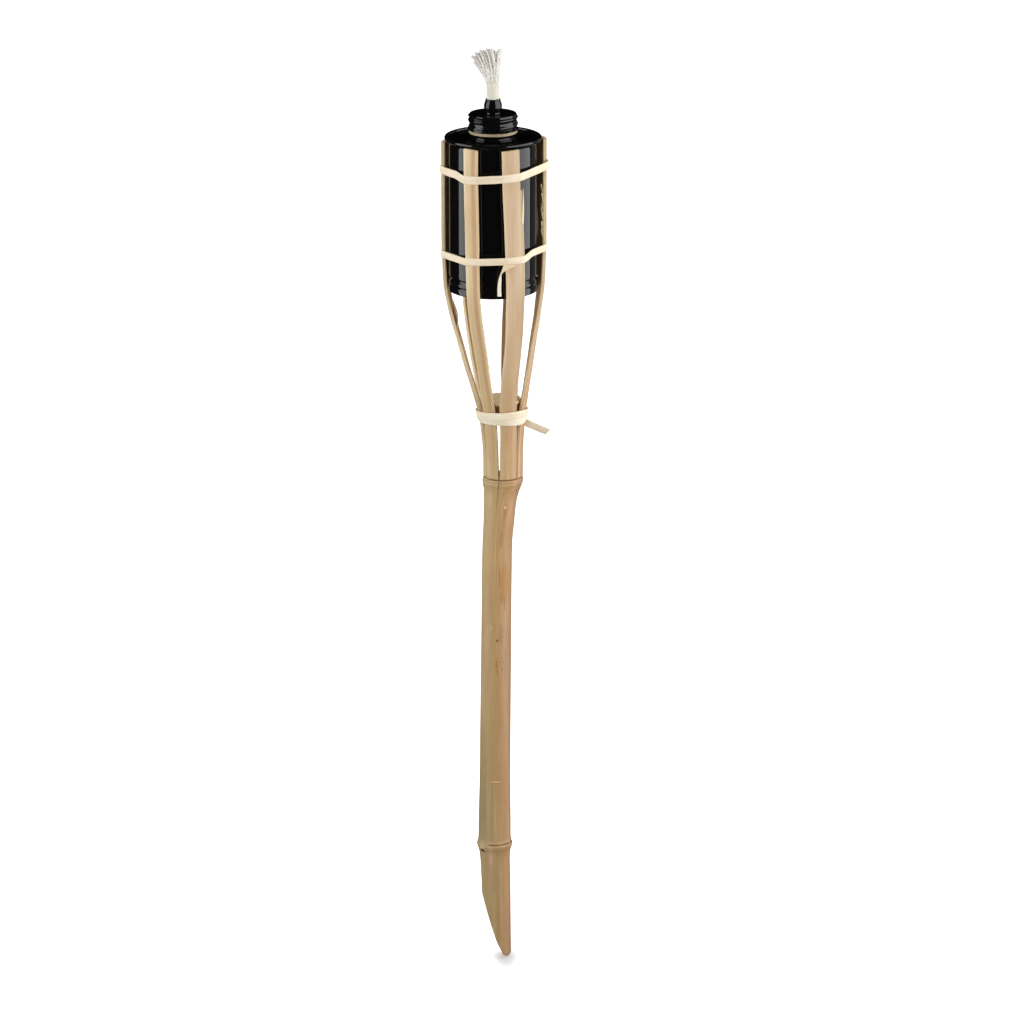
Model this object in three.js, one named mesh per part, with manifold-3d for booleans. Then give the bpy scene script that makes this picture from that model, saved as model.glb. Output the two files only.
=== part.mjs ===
// Garden tiki torch: a bamboo culm whose top is split into six staves that are sprung apart by a
// plug and tied round a lift-out oil tank with a screw cap, a wick tube and a wick.
// Millimetres, +Z up. z = 0 is the level of the stake's tip, and x = y = 0 is the tank's axis.
import * as THREE from 'three';
import { mergeVertices } from 'three/addons/utils/BufferGeometryUtils.js';
import Module from 'manifold-3d';

const wasm = await Module();
wasm.setup();

// ---------- driving dimensions ----------

const TOTAL_HEIGHT = 900;
const GAP = 0.3;                    // clearance left between neighbouring pieces

// culm
const LOWER_NODE_Z = 118;
const UPPER_NODE_Z = 489;           // the staves start at this node
const CULM_BORE = 10.6;
const NODE_BORE = 13.4;             // the bore just under the staves
const BEVEL_HEIGHT = 66;            // height of the slanted cut on the left of the stake
const TIP_LEFT_X = 9.3;             // where the slanted cut reaches z = 0
const DIAPHRAGM_THICKNESS = 3.5;
const DIAPHRAGM_DOME = 1.5;         // how far a diaphragm's middle sags
const LOWER_DIAPHRAGM_TOP_Z = LOWER_NODE_Z + 2;
const UPPER_DIAPHRAGM_TOP_Z = UPPER_NODE_Z - 5;

// staves
const STAVE_ROOT_Z = UPPER_NODE_Z + GAP;
const BASKET_SHOULDER_Z = 718;      // above this height the staves stand straight
const SPLIT_GAP = 0.8;              // gap left by each split, along the arc
const PLUG_TOP_Z = 565.3;
const PLUG_HEIGHT = 20;

// bands of flat cane
const BAND_THICKNESS = 1.2;
const UPPER_BAND = { z: 786.3, width: 7.5, slopeX: 0.065, slopeY: 0 };
const LOWER_BAND = { z: 706, width: 6.8, slopeX: 0.035, slopeY: -0.05 };
const BINDING = { bottom: 543.5, top: 558, thickness: 1.4, clearance: 0.75 };

// oil tank
const TANK_RADIUS = 41.6;
const SHEET = 0.9;
const TANK_BOTTOM_Z = 671.6;
const GROOVE_Z = 685;
const RIM_Z = 816.3;
const RIM_BEAD_RADIUS = 1.9;
const RIM_RADIUS = 45.2;
const TANK_TOP_Z = 814.9;
const SEAM_RADIUS = TANK_RADIUS + 0.35;
const SEAM_HEIGHT = 2.6;
const GROOVE_DEPTH = 0.6;
const GROOVE_HALF_WIDTH = 1.2;
const TANK_FLOOR_Z = TANK_BOTTOM_Z + 1.4;

// neck, washer, cap and liner
const THREAD_PITCH = 6.4;
const THREAD_DEPTH = 0.7;           // how far the rolled thread swings either side of its mean radius
const THREAD_CLEARANCE = 0.45;
const CAP_BORE = 21.2;              // mean radius of the thread inside the cap
const NECK_RADIUS = CAP_BORE - THREAD_DEPTH - THREAD_CLEARANCE;
const NECK_BORE = 18.4;
const NECK_TOP_Z = 835.6;
const SHOULDER_Z = 820.4;           // the neck's shoulder, which carries the washer
const NECK_FOOT = 1.2;              // how far the neck's foot stands out from the thread
const NECK_SHOULDER = 1.6;          // and how far its shoulder does
const WASHER_THICKNESS = 2.9;
const CAP_RADIUS = 22.4;
const CAP_SKIRT = 1.2;              // how far the cap's lower edge flares out
const CAP_BOTTOM_Z = SHOULDER_Z + WASHER_THICKNESS + 2 * GAP;
const CAP_TOP_Z = 839.2;
const DISH_Z = 837.8;               // floor of the shallow dish in the cap's top
const LINER_THICKNESS = 0.8;

// wick and its tube
const WICK_RADIUS = 6;
const WICK_BOTTOM_Z = 692;
const WICK_FLARE_Z = 868;
const TUBE_BORE = WICK_RADIUS + GAP;
const TUBE_TOP_Z = 852.6;
const TUBE_BOTTOM_Z = 830;
const TUBE_WALL = 0.8;
const TUBE_COLLAR = 2.2;            // how far the collar and the barrel's belly stand out
const CAP_HOLE = TUBE_BORE + 1.3;   // the hole in the cap that the tube passes through

// ---------- materials ----------

const paint = (color, roughness, metalness = 0) =>
  new THREE.MeshStandardMaterial({ color, roughness, metalness });

const bamboo = paint(0xb09264, 0.5);
const splitBamboo = paint(0xcdb48c, 0.55);
const plugWood = paint(0xd3bd92, 0.7);
const cane = paint(0xeee1c3, 0.65);
const enamel = paint(0x0c0b0c, 0.15, 0.2);
const washerBoard = paint(0xd6cba6, 0.6);
const rubber = paint(0x4a4743, 0.8);
const cotton = paint(0xd7d4cc, 0.95);

// ---------- helpers ----------

const degrees = THREE.MathUtils.degToRad;
const lerp = THREE.MathUtils.lerp;

// A smooth curve through [z, value] knots: a cubic between knots, flat past the ends.
function curveThrough(knots) {
  const slope = (i) => {
    const before = knots[Math.max(i - 1, 0)];
    const after = knots[Math.min(i + 1, knots.length - 1)];
    return (after[1] - before[1]) / (after[0] - before[0]);
  };
  return (z) => {
    const last = knots.length - 1;
    if (z <= knots[0][0]) return knots[0][1];
    if (z >= knots[last][0]) return knots[last][1];
    const i = knots.findIndex((knot) => knot[0] > z) - 1;
    const span = knots[i + 1][0] - knots[i][0];
    const t = (z - knots[i][0]) / span;
    const rise = knots[i + 1][1] - knots[i][1];
    const a = slope(i) * span - rise;
    const b = rise - slope(i + 1) * span;
    return knots[i][1] + t * rise + t * (1 - t) * (a * (1 - t) + b * t);
  };
}

// Moves every vertex of a geometry to where place(vertex) puts it.
function warp(geometry, place) {
  const position = geometry.attributes.position;
  const vertex = new THREE.Vector3();
  for (let i = 0; i < position.count; i += 1) {
    vertex.fromBufferAttribute(position, i);
    place(vertex);
    position.setXYZ(i, vertex.x, vertex.y, vertex.z);
  }
  return geometry;
}

// Keeps only positions, merges shared vertices and drops the triangles that this collapses.
function weld(geometry) {
  const source = geometry.clone();
  source.deleteAttribute('normal');
  source.deleteAttribute('uv');
  const merged = mergeVertices(source, 1e-5);
  const kept = [];
  const index = merged.index.array;
  for (let i = 0; i < index.length; i += 3) {
    const [a, b, c] = [index[i], index[i + 1], index[i + 2]];
    if (a !== b && b !== c && c !== a) kept.push(a, b, c);
  }
  merged.setIndex(kept);
  return merged;
}

// Turns a closed [radius, z] outline, listed anticlockwise, about the Z axis.
function turned(outline, segments = 36) {
  const points = [...outline, outline[0]].map(([radius, z]) => new THREE.Vector2(radius, z));
  return weld(new THREE.LatheGeometry(points, segments).rotateX(Math.PI / 2));
}

function toSolid(geometry) {
  const { position } = geometry.attributes;
  const triVerts = new Uint32Array(geometry.index.array);
  const vertProperties = new Float32Array(position.array);
  return new wasm.Manifold(new wasm.Mesh({ numProp: 3, vertProperties, triVerts }));
}

function toGeometry(solid) {
  const { vertProperties, triVerts } = solid.getMesh();
  const geometry = new THREE.BufferGeometry();
  geometry.setAttribute('position', new THREE.BufferAttribute(vertProperties, 3));
  geometry.setIndex(new THREE.BufferAttribute(triVerts, 1));
  return geometry;
}

function addPart(parent, name, geometry, material) {
  geometry.computeVertexNormals();
  const mesh = new THREE.Mesh(geometry, material);
  mesh.name = name;
  parent.add(mesh);
}

// ---------- the culm's own line and girth ----------

// how far the culm's centre line stands to the right of the tank's axis
const culmCentre = curveThrough([
  [0, 2.6], [70, 2.2], [118, 0.8], [180, 1], [265, 1.9], [365, 2.9], [425, 3.8], [445, 5.2],
  [465, 6.4], [475, 7.8], [UPPER_NODE_Z, 9.2], [505, 9.2], [540, 8.6], [553, 8], [610, 4], [660, 1.2], [700, 0.8],
]);

const culmRadius = curveThrough([
  [0, 14.2], [66, 13.9], [105, 14.5], [113, 15.6], [117, 16.9], [121, 16.6], [125, 15.7],
  [142, 15.5], [183, 14.8], [264, 14.6], [325, 14.4], [395, 14.3], [425, 14.2], [445, 14.7],
  [465, 15.7], [475, 17], [482, 18.8], [485.5, 19.4], [UPPER_NODE_Z, 18.8],
]);

const shiftToCulm = (vertex) => {
  vertex.x += culmCentre(vertex.z);
};

// Makes the culm's wall: open at both ends, with the two swollen nodes and the slanted stake cut.
function culmWall() {
  const stations = [
    0, 35, BEVEL_HEIGHT, 92, 107, 113, 117, 121, 125, 142, 183, 240, 300, 360, 400, 425, 445, 458, 468,
    476, 482, 485.5, UPPER_NODE_Z,
  ];
  const outside = stations.map((z) => [culmRadius(z), z]);
  const inside = [
    [NODE_BORE, UPPER_NODE_Z], [NODE_BORE, 474], [CULM_BORE, 452], [CULM_BORE, 260],
    [CULM_BORE, LOWER_NODE_Z + 10], [CULM_BORE, 0],
  ];
  const wall = warp(turned([...outside, ...inside], 28), shiftToCulm);

  // the cut runs from the left of the stake down to its tip, and is square to the front
  const culmLeft = culmCentre(BEVEL_HEIGHT) - culmRadius(BEVEL_HEIGHT);
  const run = TIP_LEFT_X - culmLeft;
  const length = 3 * BEVEL_HEIGHT;
  const cutter = new THREE.BoxGeometry(length, length, length);
  cutter.translate(-length / 2, 0, 0);
  cutter.rotateY(-Math.atan2(run, BEVEL_HEIGHT));
  cutter.translate(TIP_LEFT_X, 0, 0);
  return toGeometry(toSolid(wall).subtract(toSolid(weld(cutter))));
}

// Makes one of the woody partitions that close a culm inside at each node.
function diaphragm(topZ, radius) {
  const bottomZ = topZ - DIAPHRAGM_THICKNESS;
  const outline = [
    [0, bottomZ - DIAPHRAGM_DOME], [radius * 0.6, bottomZ - DIAPHRAGM_DOME * 0.6],
    [radius, bottomZ], [radius, topZ],
    [radius * 0.6, topZ - DIAPHRAGM_DOME * 0.6], [0, topZ - DIAPHRAGM_DOME],
  ];
  const points = outline.map(([r, z]) => new THREE.Vector2(r, z));
  const disc = new THREE.LatheGeometry(points, 24).rotateX(Math.PI / 2);
  return warp(weld(disc), shiftToCulm);
}

// ---------- staves ----------

// distance from the basket's centre line to the outer face of a stave
const staveRadius = curveThrough([
  [UPPER_NODE_Z, 18.8], [515, 19.1], [530, 20.1], [540, 21.1], [548, 21.9], [556, 23], [564, 25],
  [575, 27.3], [598, 32.5], [622, 37.5], [645, 42.6], [660, 45.2], [673, 47.3], [697, 48.7],
  [BASKET_SHOULDER_Z, 49.4],
]);

// radius of the arc across a stave: the full round of the culm at the root, flatter higher up
const staveArc = curveThrough([
  [UPPER_NODE_Z, 18.8], [515, 18.9], [540, 20], [560, 22], [640, 34], [700, 40],
]);

const staveThickness = curveThrough([[UPPER_NODE_Z, 4.6], [560, 4.3], [660, 3.7]]);

// splits is the arc of the culm that the stave was split from, in degrees from the front towards
// the right. azimuth lists where its middle stands at each height.
const STAVES = [
  {
    name: 'front_left', splits: [-60, -14], top: 813.6,
    azimuth: [
      [UPPER_NODE_Z, -37], [520, -38], [541, -35.5], [560, -32], [589, -27.5], [620, -26.5],
      [700, -25], [800, -26.4],
    ],
  },
  {
    name: 'front_right', splits: [-12, 47], top: 813,
    azimuth: [
      [UPPER_NODE_Z, 17.5], [520, 18.6], [541, 18.6], [560, 17.7], [575, 19.2], [589, 21.8],
      [622, 26.5], [672, 25.8], [708, 24], [757, 21.6], [805, 19.4],
    ],
  },
  {
    name: 'right', splits: [47, 118], top: 813.7,
    azimuth: [[UPPER_NODE_Z, 82.6], [541, 84], [560, 85], [640, 94], [700, 103]],
  },
  {
    name: 'back_right', splits: [127, 184], top: 812,
    azimuth: [[UPPER_NODE_Z, 155.5], [541, 157], [560, 159.5], [600, 159.5], [700, 155]],
  },
  {
    name: 'back_left', splits: [198, 250], top: 812.6,
    azimuth: [[UPPER_NODE_Z, 224], [560, 224], [700, 208]],
  },
  {
    name: 'left', splits: [250, 300], top: 810.4,
    azimuth: [[UPPER_NODE_Z, 275], [560, 275], [640, 266], [700, 258.5]],
  },
].map((stave) => ({
  ...stave,
  azimuth: curveThrough(stave.azimuth),
  width: degrees(stave.splits[1] - stave.splits[0]) * staveArc(UPPER_NODE_Z) - SPLIT_GAP,
}));

// Where a point of a stave stands: across is measured along its outer arc, depth inwards from it.
function onStave(stave, across, depth, z) {
  const arc = staveArc(z);
  const turn = across / arc;
  const facing = degrees(stave.azimuth(z));
  const sideways = (arc - depth) * Math.sin(turn);
  const outwards = staveRadius(z) - arc + (arc - depth) * Math.cos(turn);
  const x = culmCentre(z) + outwards * Math.sin(facing) + sideways * Math.cos(facing);
  const y = -outwards * Math.cos(facing) + sideways * Math.sin(facing);
  return new THREE.Vector3(x, y, z);
}

// Makes a stave: a slat with eased edges, swept up and bent outwards into the basket.
function staveSolid(stave) {
  const half = stave.width / 2;
  const ease = 0.5;                       // how far the slat's long edges are eased
  const slat = new THREE.Shape([
    [-half, 1 - ease / 4], [-half + ease, 1], [-half / 3, 1], [half / 3, 1], [half - ease, 1],
    [half, 1 - ease / 4], [half, 0], [half / 3, 0], [-half / 3, 0], [-half, 0],
  ].map(([across, face]) => new THREE.Vector2(across, face)));
  const steps = 18;
  const flareSteps = 15;
  const geometry = new THREE.ExtrudeGeometry(slat, { depth: steps, steps, bevelEnabled: false });
  return weld(warp(geometry, (vertex) => {
    const flare = vertex.z / flareSteps;
    const upper = (vertex.z - flareSteps) / (steps - flareSteps);
    const z = vertex.z <= flareSteps
      ? lerp(STAVE_ROOT_Z, BASKET_SHOULDER_Z, flare)
      : lerp(BASKET_SHOULDER_Z, stave.top, upper);
    const depth = (1 - vertex.y) * staveThickness(z);
    vertex.copy(onStave(stave, -vertex.x, depth, z));
  }));
}

// Makes the tapered plug that holds the staves apart above the binding.
function spreaderPlug() {
  const bottomZ = PLUG_TOP_Z - PLUG_HEIGHT;
  const radiusAt = (z) => staveRadius(z) - staveThickness(z) - 2 * GAP;
  const middleZ = (bottomZ + PLUG_TOP_Z) / 2;
  const points = [
    [0, bottomZ], [radiusAt(bottomZ), bottomZ], [radiusAt(middleZ), middleZ],
    [radiusAt(PLUG_TOP_Z) - 1, PLUG_TOP_Z], [0, PLUG_TOP_Z],
  ].map(([r, z]) => new THREE.Vector2(r, z));
  return warp(weld(new THREE.LatheGeometry(points, 24).rotateX(Math.PI / 2)), shiftToCulm);
}

// ---------- cane bands ----------

// Makes a flat band that hugs the outer face of each stave and runs straight between them.
function bandRing(band) {
  const loop = (offset) => STAVES.flatMap((stave) =>
    [-1, -0.5, 0, 0.5, 1].map((share) => {
      const point = onStave(stave, share * stave.width / 2, -offset, band.z);
      return new THREE.Vector2(point.x, point.y);
    }));
  const ring = new THREE.Shape(loop(GAP + BAND_THICKNESS));
  ring.holes.push(new THREE.Path(loop(GAP).reverse()));
  const geometry = new THREE.ExtrudeGeometry(ring, { depth: band.width, bevelEnabled: false });
  return weld(warp(geometry, (vertex) => {
    vertex.z += band.z - band.width / 2 + band.slopeX * vertex.x + band.slopeY * vertex.y;
  }));
}

// Makes a flat loose end of cane from its outline as seen from the front.
function caneEnd(outline, frontY) {
  const shape = new THREE.Shape(outline.map(([x, z]) => new THREE.Vector2(x, z)));
  const geometry = new THREE.ExtrudeGeometry(shape, { depth: BAND_THICKNESS, bevelEnabled: false });
  return weld(geometry.rotateX(Math.PI / 2).translate(0, frontY + BAND_THICKNESS, 0));
}

// The lower band's end hangs down beside the front right stave.
function lowerBand() {
  const end = caneEnd([[4.2, 676], [8.6, 676], [8, 690], [10.4, 706], [5.6, 706], [3.4, 690]], -48.9);
  return toGeometry(toSolid(bandRing(LOWER_BAND)).add(toSolid(end)));
}

// Makes the binding that is wound round the neck, with its end sticking out to the right.
function neckBinding() {
  const heights = [BINDING.bottom, lerp(BINDING.bottom, BINDING.top, 0.5), BINDING.top];
  const inside = heights.map((z) => [staveRadius(z) + BINDING.clearance, z]);
  const outside = inside.map(([radius, z]) => [radius + BINDING.thickness, z]);
  const ring = warp(turned([...outside, ...inside.reverse()], 32), shiftToCulm);
  const end = caneEnd([[31.2, 538], [49.3, 529.6], [53.8, 534], [31.2, 546]], -BAND_THICKNESS / 2);
  return toGeometry(toSolid(ring).add(toSolid(end)));
}

// ---------- tank ----------

function tankWall() {
  const bore = TANK_RADIUS - SHEET;
  const rimCentre = RIM_RADIUS - RIM_BEAD_RADIUS;
  const bead = [-120, -60, 0, 60, 120].map((turn) => [
    rimCentre + RIM_BEAD_RADIUS * Math.cos(degrees(turn)),
    RIM_Z + RIM_BEAD_RADIUS * Math.sin(degrees(turn)),
  ]);
  return turned([
    [bore, TANK_BOTTOM_Z], [SEAM_RADIUS, TANK_BOTTOM_Z],
    [SEAM_RADIUS, TANK_BOTTOM_Z + SEAM_HEIGHT],
    [TANK_RADIUS, TANK_BOTTOM_Z + SEAM_HEIGHT + 0.6], [TANK_RADIUS, GROOVE_Z - GROOVE_HALF_WIDTH],
    [TANK_RADIUS - GROOVE_DEPTH, GROOVE_Z], [TANK_RADIUS, GROOVE_Z + GROOVE_HALF_WIDTH],
    [TANK_RADIUS, RIM_Z - 4], ...bead,
    [bore + GAP + 0.4, RIM_Z + 0.8], [bore, TANK_TOP_Z - 2],
  ], 40);
}

function flatRing(innerRadius, outerRadius, bottomZ, topZ, segments = 36) {
  return turned([
    [innerRadius, bottomZ], [outerRadius, bottomZ], [outerRadius, topZ], [innerRadius, topZ],
  ], segments);
}

function tankBottom() {
  const radius = TANK_RADIUS - SHEET - GAP;
  const points = [
    [0, TANK_FLOOR_Z], [radius, TANK_FLOOR_Z], [radius, TANK_FLOOR_Z + SHEET],
    [0, TANK_FLOOR_Z + SHEET],
  ].map(([r, z]) => new THREE.Vector2(r, z));
  return weld(new THREE.LatheGeometry(points, 36).rotateX(Math.PI / 2));
}

function tankTop() {
  return flatRing(NECK_BORE, TANK_RADIUS - SHEET - GAP, TANK_TOP_Z - SHEET, TANK_TOP_Z);
}

// Swings a radius in and out along the rolled right-hand thread, fading out at both ends.
function thread(vertex, bottomZ, topZ) {
  const fade = Math.min(
    THREE.MathUtils.smoothstep(vertex.z, bottomZ, bottomZ + THREAD_PITCH / 3),
    1 - THREE.MathUtils.smoothstep(vertex.z, topZ - THREAD_PITCH / 3, topZ),
  );
  const angle = Math.atan2(vertex.y, vertex.x);
  const swing = THREAD_DEPTH * fade * Math.cos(2 * Math.PI * vertex.z / THREAD_PITCH - angle);
  const radius = Math.hypot(vertex.x, vertex.y);
  vertex.x *= (radius + swing) / radius;
  vertex.y *= (radius + swing) / radius;
}

function threadRows(radius, bottomZ, topZ) {
  const count = Math.round((topZ - bottomZ) / (THREAD_PITCH / 6));
  return Array.from({ length: count + 1 }, (_, i) => [radius, lerp(bottomZ, topZ, i / count)]);
}

function tankNeck() {
  const baseZ = TANK_TOP_Z + GAP;
  const threadBottom = SHOULDER_Z + WASHER_THICKNESS + 2;
  const threadTop = NECK_TOP_Z - 1.2;
  const neck = turned([
    [NECK_BORE, baseZ], [NECK_RADIUS + NECK_FOOT, baseZ], [NECK_RADIUS + NECK_FOOT, baseZ + 0.8],
    [NECK_RADIUS - 0.6, baseZ + 1.4], [NECK_RADIUS - 0.6, SHOULDER_Z - 1],
    [NECK_RADIUS + NECK_SHOULDER, SHOULDER_Z],
    [NECK_RADIUS, SHOULDER_Z + 0.05], ...threadRows(NECK_RADIUS, threadBottom, threadTop),
    [NECK_RADIUS - 0.5, NECK_TOP_Z], [NECK_BORE, NECK_TOP_Z],
  ]);
  return warp(neck, (vertex) => {
    if (Math.hypot(vertex.x, vertex.y) > NECK_BORE + 0.5) thread(vertex, threadBottom, threadTop);
  });
}

function neckWasher() {
  const bottomZ = SHOULDER_Z + GAP;
  return flatRing(NECK_RADIUS + GAP, CAP_RADIUS, bottomZ, bottomZ + WASHER_THICKNESS);
}

// ---------- cap, liner and wick tube ----------

function screwCap() {
  const threadBottom = CAP_BOTTOM_Z + 1.6;
  const threadTop = DISH_Z - 2 * LINER_THICKNESS;
  const cap = turned([
    [CAP_BORE + 0.7, CAP_BOTTOM_Z], [CAP_RADIUS + CAP_SKIRT, CAP_BOTTOM_Z],
    [CAP_RADIUS + CAP_SKIRT / 2, CAP_BOTTOM_Z + 2 * CAP_SKIRT],
    [CAP_RADIUS, CAP_TOP_Z - 1], [CAP_RADIUS - 0.5, CAP_TOP_Z], [CAP_RADIUS - 1.9, CAP_TOP_Z],
    [CAP_RADIUS - 2.3, DISH_Z], [CAP_HOLE, DISH_Z], [CAP_HOLE, DISH_Z - LINER_THICKNESS],
    [CAP_BORE - 0.4, DISH_Z - LINER_THICKNESS],
    ...threadRows(CAP_BORE, threadBottom, threadTop).reverse(),
  ]);
  const outside = CAP_BORE + 0.5;
  return warp(cap, (vertex) => {
    const radius = Math.hypot(vertex.x, vertex.y);
    if (radius > NECK_RADIUS && radius < outside) thread(vertex, threadBottom, threadTop);
  });
}

function capLiner() {
  const topZ = DISH_Z - LINER_THICKNESS - GAP;
  return flatRing(CAP_HOLE + 0.1, NECK_RADIUS, topZ - LINER_THICKNESS, topZ, 28);
}

// Makes the barrel-shaped tube that pinches the wick, with a collar that sits in the cap's dish.
function wickTube() {
  const collar = TUBE_BORE + TUBE_COLLAR;
  return turned([
    [TUBE_BORE, TUBE_BOTTOM_Z], [TUBE_BORE + TUBE_WALL, TUBE_BOTTOM_Z],
    [TUBE_BORE + TUBE_WALL, DISH_Z + GAP], [collar, DISH_Z + GAP], [collar, DISH_Z + 0.9],
    [TUBE_BORE + 1.1, DISH_Z + 1.4], [TUBE_BORE + 1.7, DISH_Z + 4.5], [collar, DISH_Z + 8],
    [TUBE_BORE + 1.8, DISH_Z + 11.5], [TUBE_BORE + 0.5, TUBE_TOP_Z], [TUBE_BORE, TUBE_TOP_Z],
  ], 24);
}

// ---------- wick ----------

const FRAYED_Z = 887;               // above this height the wick is fully frayed
const FRAY_FLATTENING = 0.3;        // the frayed top is this much shallower than it is wide

// Makes the wick: a round cord down into the tank whose top is frayed and leans to the left.
function wickCord() {
  const radius = curveThrough([
    [WICK_FLARE_Z, WICK_RADIUS], [874, 7], [880, 8.7], [FRAYED_Z, 12.8], [892, 13.3], [897, 11.4],
    [TOTAL_HEIGHT, 8],
  ]);
  const lean = curveThrough([
    [WICK_FLARE_Z, 0], [874, -1.8], [880, -2.8], [FRAYED_Z, -6], [892, -6.8], [897, -5.6],
    [TOTAL_HEIGHT, -3],
  ]);
  const heights = [
    WICK_BOTTOM_Z, 760, 820, WICK_FLARE_Z, 871, 874, 877, 880, 883.5, FRAYED_Z, 892, 897,
    TOTAL_HEIGHT,
  ];
  const side = heights.map((z) => new THREE.Vector2(radius(z), z));
  const points = [new THREE.Vector2(0, WICK_BOTTOM_Z), ...side, new THREE.Vector2(0, TOTAL_HEIGHT)];
  const cord = weld(new THREE.LatheGeometry(points, 20).rotateX(Math.PI / 2));
  return warp(cord, (vertex) => {
    const frayed = THREE.MathUtils.smoothstep(vertex.z, WICK_FLARE_Z, FRAYED_Z);
    vertex.y *= 1 - FRAY_FLATTENING * frayed;
    vertex.x += lean(vertex.z);
  });
}

// ---------- assembly ----------

const torch = new THREE.Group();

const pole = new THREE.Group();
torch.add(pole);
addPart(pole, 'pole', culmWall(), bamboo);
addPart(pole, 'lower_diaphragm', diaphragm(LOWER_DIAPHRAGM_TOP_Z, CULM_BORE - GAP), plugWood);
addPart(pole, 'upper_diaphragm', diaphragm(UPPER_DIAPHRAGM_TOP_Z, NODE_BORE - GAP), plugWood);
for (const stave of STAVES) {
  addPart(pole, `stave_${stave.name}`, staveSolid(stave), splitBamboo);
}
addPart(pole, 'spreader_plug', spreaderPlug(), plugWood);
addPart(pole, 'upper_band', bandRing(UPPER_BAND), cane);
addPart(pole, 'lower_band', lowerBand(), cane);
addPart(pole, 'neck_binding', neckBinding(), cane);

const tank = new THREE.Group();
torch.add(tank);
addPart(tank, 'tank_wall', tankWall(), enamel);
addPart(tank, 'tank_bottom', tankBottom(), enamel);
addPart(tank, 'tank_top', tankTop(), enamel);
addPart(tank, 'tank_neck', tankNeck(), enamel);
addPart(tank, 'neck_washer', neckWasher(), washerBoard);

const cap = new THREE.Group();
tank.add(cap);
addPart(cap, 'screw_cap', screwCap(), enamel);
addPart(cap, 'cap_liner', capLiner(), rubber);
addPart(cap, 'wick_tube', wickTube(), enamel);
addPart(cap, 'wick', wickCord(), cotton);

export default torch;
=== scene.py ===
import math

import bpy
import numpy as np
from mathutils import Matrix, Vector, noise


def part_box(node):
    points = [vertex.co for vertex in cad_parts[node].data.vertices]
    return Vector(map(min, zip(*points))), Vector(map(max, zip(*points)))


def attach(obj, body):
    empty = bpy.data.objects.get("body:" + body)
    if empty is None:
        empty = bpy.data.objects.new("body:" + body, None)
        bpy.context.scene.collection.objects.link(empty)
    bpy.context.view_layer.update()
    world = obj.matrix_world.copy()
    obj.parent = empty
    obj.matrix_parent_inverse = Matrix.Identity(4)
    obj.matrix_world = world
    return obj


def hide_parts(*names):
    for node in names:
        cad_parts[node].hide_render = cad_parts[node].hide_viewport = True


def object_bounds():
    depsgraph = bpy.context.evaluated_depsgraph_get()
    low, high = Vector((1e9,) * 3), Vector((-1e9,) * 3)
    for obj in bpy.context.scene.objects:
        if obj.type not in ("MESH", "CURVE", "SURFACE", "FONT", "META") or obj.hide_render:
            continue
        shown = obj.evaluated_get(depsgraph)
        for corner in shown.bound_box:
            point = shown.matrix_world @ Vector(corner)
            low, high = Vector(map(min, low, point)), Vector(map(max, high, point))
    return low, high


# A garden tiki torch: a bamboo culm split into six staves round a black oil tank with a wick.
# Metres and +Z up, as in the frame. Azimuth is in degrees from the front (-Y) towards +X.

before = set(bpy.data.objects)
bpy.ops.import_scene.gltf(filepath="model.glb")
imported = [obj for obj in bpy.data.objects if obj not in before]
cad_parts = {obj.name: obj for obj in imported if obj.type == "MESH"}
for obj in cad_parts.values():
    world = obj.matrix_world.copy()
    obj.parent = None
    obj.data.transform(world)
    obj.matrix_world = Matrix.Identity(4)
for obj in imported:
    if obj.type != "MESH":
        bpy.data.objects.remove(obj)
CAD_LOW, CAD_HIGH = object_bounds()
MM = 0.001
TAU = 2 * math.pi


# ---------- small helpers ----------

def colour(red, green, blue):
    """Linear colour of an sRGB one given in 0 to 255."""
    share = np.array([red, green, blue]) / 255
    return np.where(share < 0.04045, share / 12.92, ((share + 0.055) / 1.055) ** 2.4)


def curve_through(knots):
    """A smooth curve through (position, value) knots, flat past the ends."""
    at, value = np.array(sorted(tuple(knot) for knot in knots), float).T
    before = np.maximum(np.arange(len(at)) - 1, 0)
    after = np.minimum(np.arange(len(at)) + 1, len(at) - 1)
    slope = (value[after] - value[before]) / (at[after] - at[before])

    def curve(position):
        x = np.clip(position, at[0], at[-1])
        i = np.clip(np.searchsorted(at, x) - 1, 0, len(at) - 2)
        span = at[i + 1] - at[i]
        t = (x - at[i]) / span
        rise = value[i + 1] - value[i]
        a = slope[i] * span - rise
        b = rise - slope[i + 1] * span
        return value[i] + t * rise + t * (1 - t) * (a * (1 - t) + b * t)
    return curve


def colour_curve(knots):
    """A smooth run of colours through (position, colour) knots."""
    channels = [curve_through([(at, shade[i]) for at, shade in knots]) for i in range(3)]
    return lambda position: np.stack([channel(position) for channel in channels], axis=-1)


def smoothstep(low, high, value):
    t = np.clip((value - low) / (high - low), 0, 1)
    return t * t * (3 - 2 * t)


def bell(value, centre, width):
    """1 at centre, falling smoothly to almost nothing two widths away."""
    return np.exp(-((value - centre) / width) ** 2)


def rough(points, scale, seed):
    """Smooth noise from about -1 to 1 at each point, with the points stretched by scale."""
    stretched = np.asarray(points, float) * np.asarray(scale, float) + seed * 17.31
    flat = [noise.noise(Vector(p)) for p in stretched.reshape(-1, 3)]
    return np.array(flat).reshape(stretched.shape[:-1])


def rough_line(position, wavelength, seed):
    """Smooth noise along a line."""
    at = np.asarray(position, float) / wavelength
    return rough(np.stack([at, np.zeros_like(at), np.zeros_like(at)], axis=-1), 1, seed)


def turn_of(azimuth):
    """Unit vector that points to an azimuth in degrees."""
    angle = np.radians(azimuth)
    return np.stack([np.sin(angle), -np.cos(angle), np.zeros_like(angle)], axis=-1)


def points_at(azimuth, radius, height):
    """Points at an azimuth, at a distance from the Z axis and at a height."""
    points = turn_of(azimuth) * np.asarray(radius)[..., None]
    points[..., 2] = height
    return points


# ---------- reading the frame ----------

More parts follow.
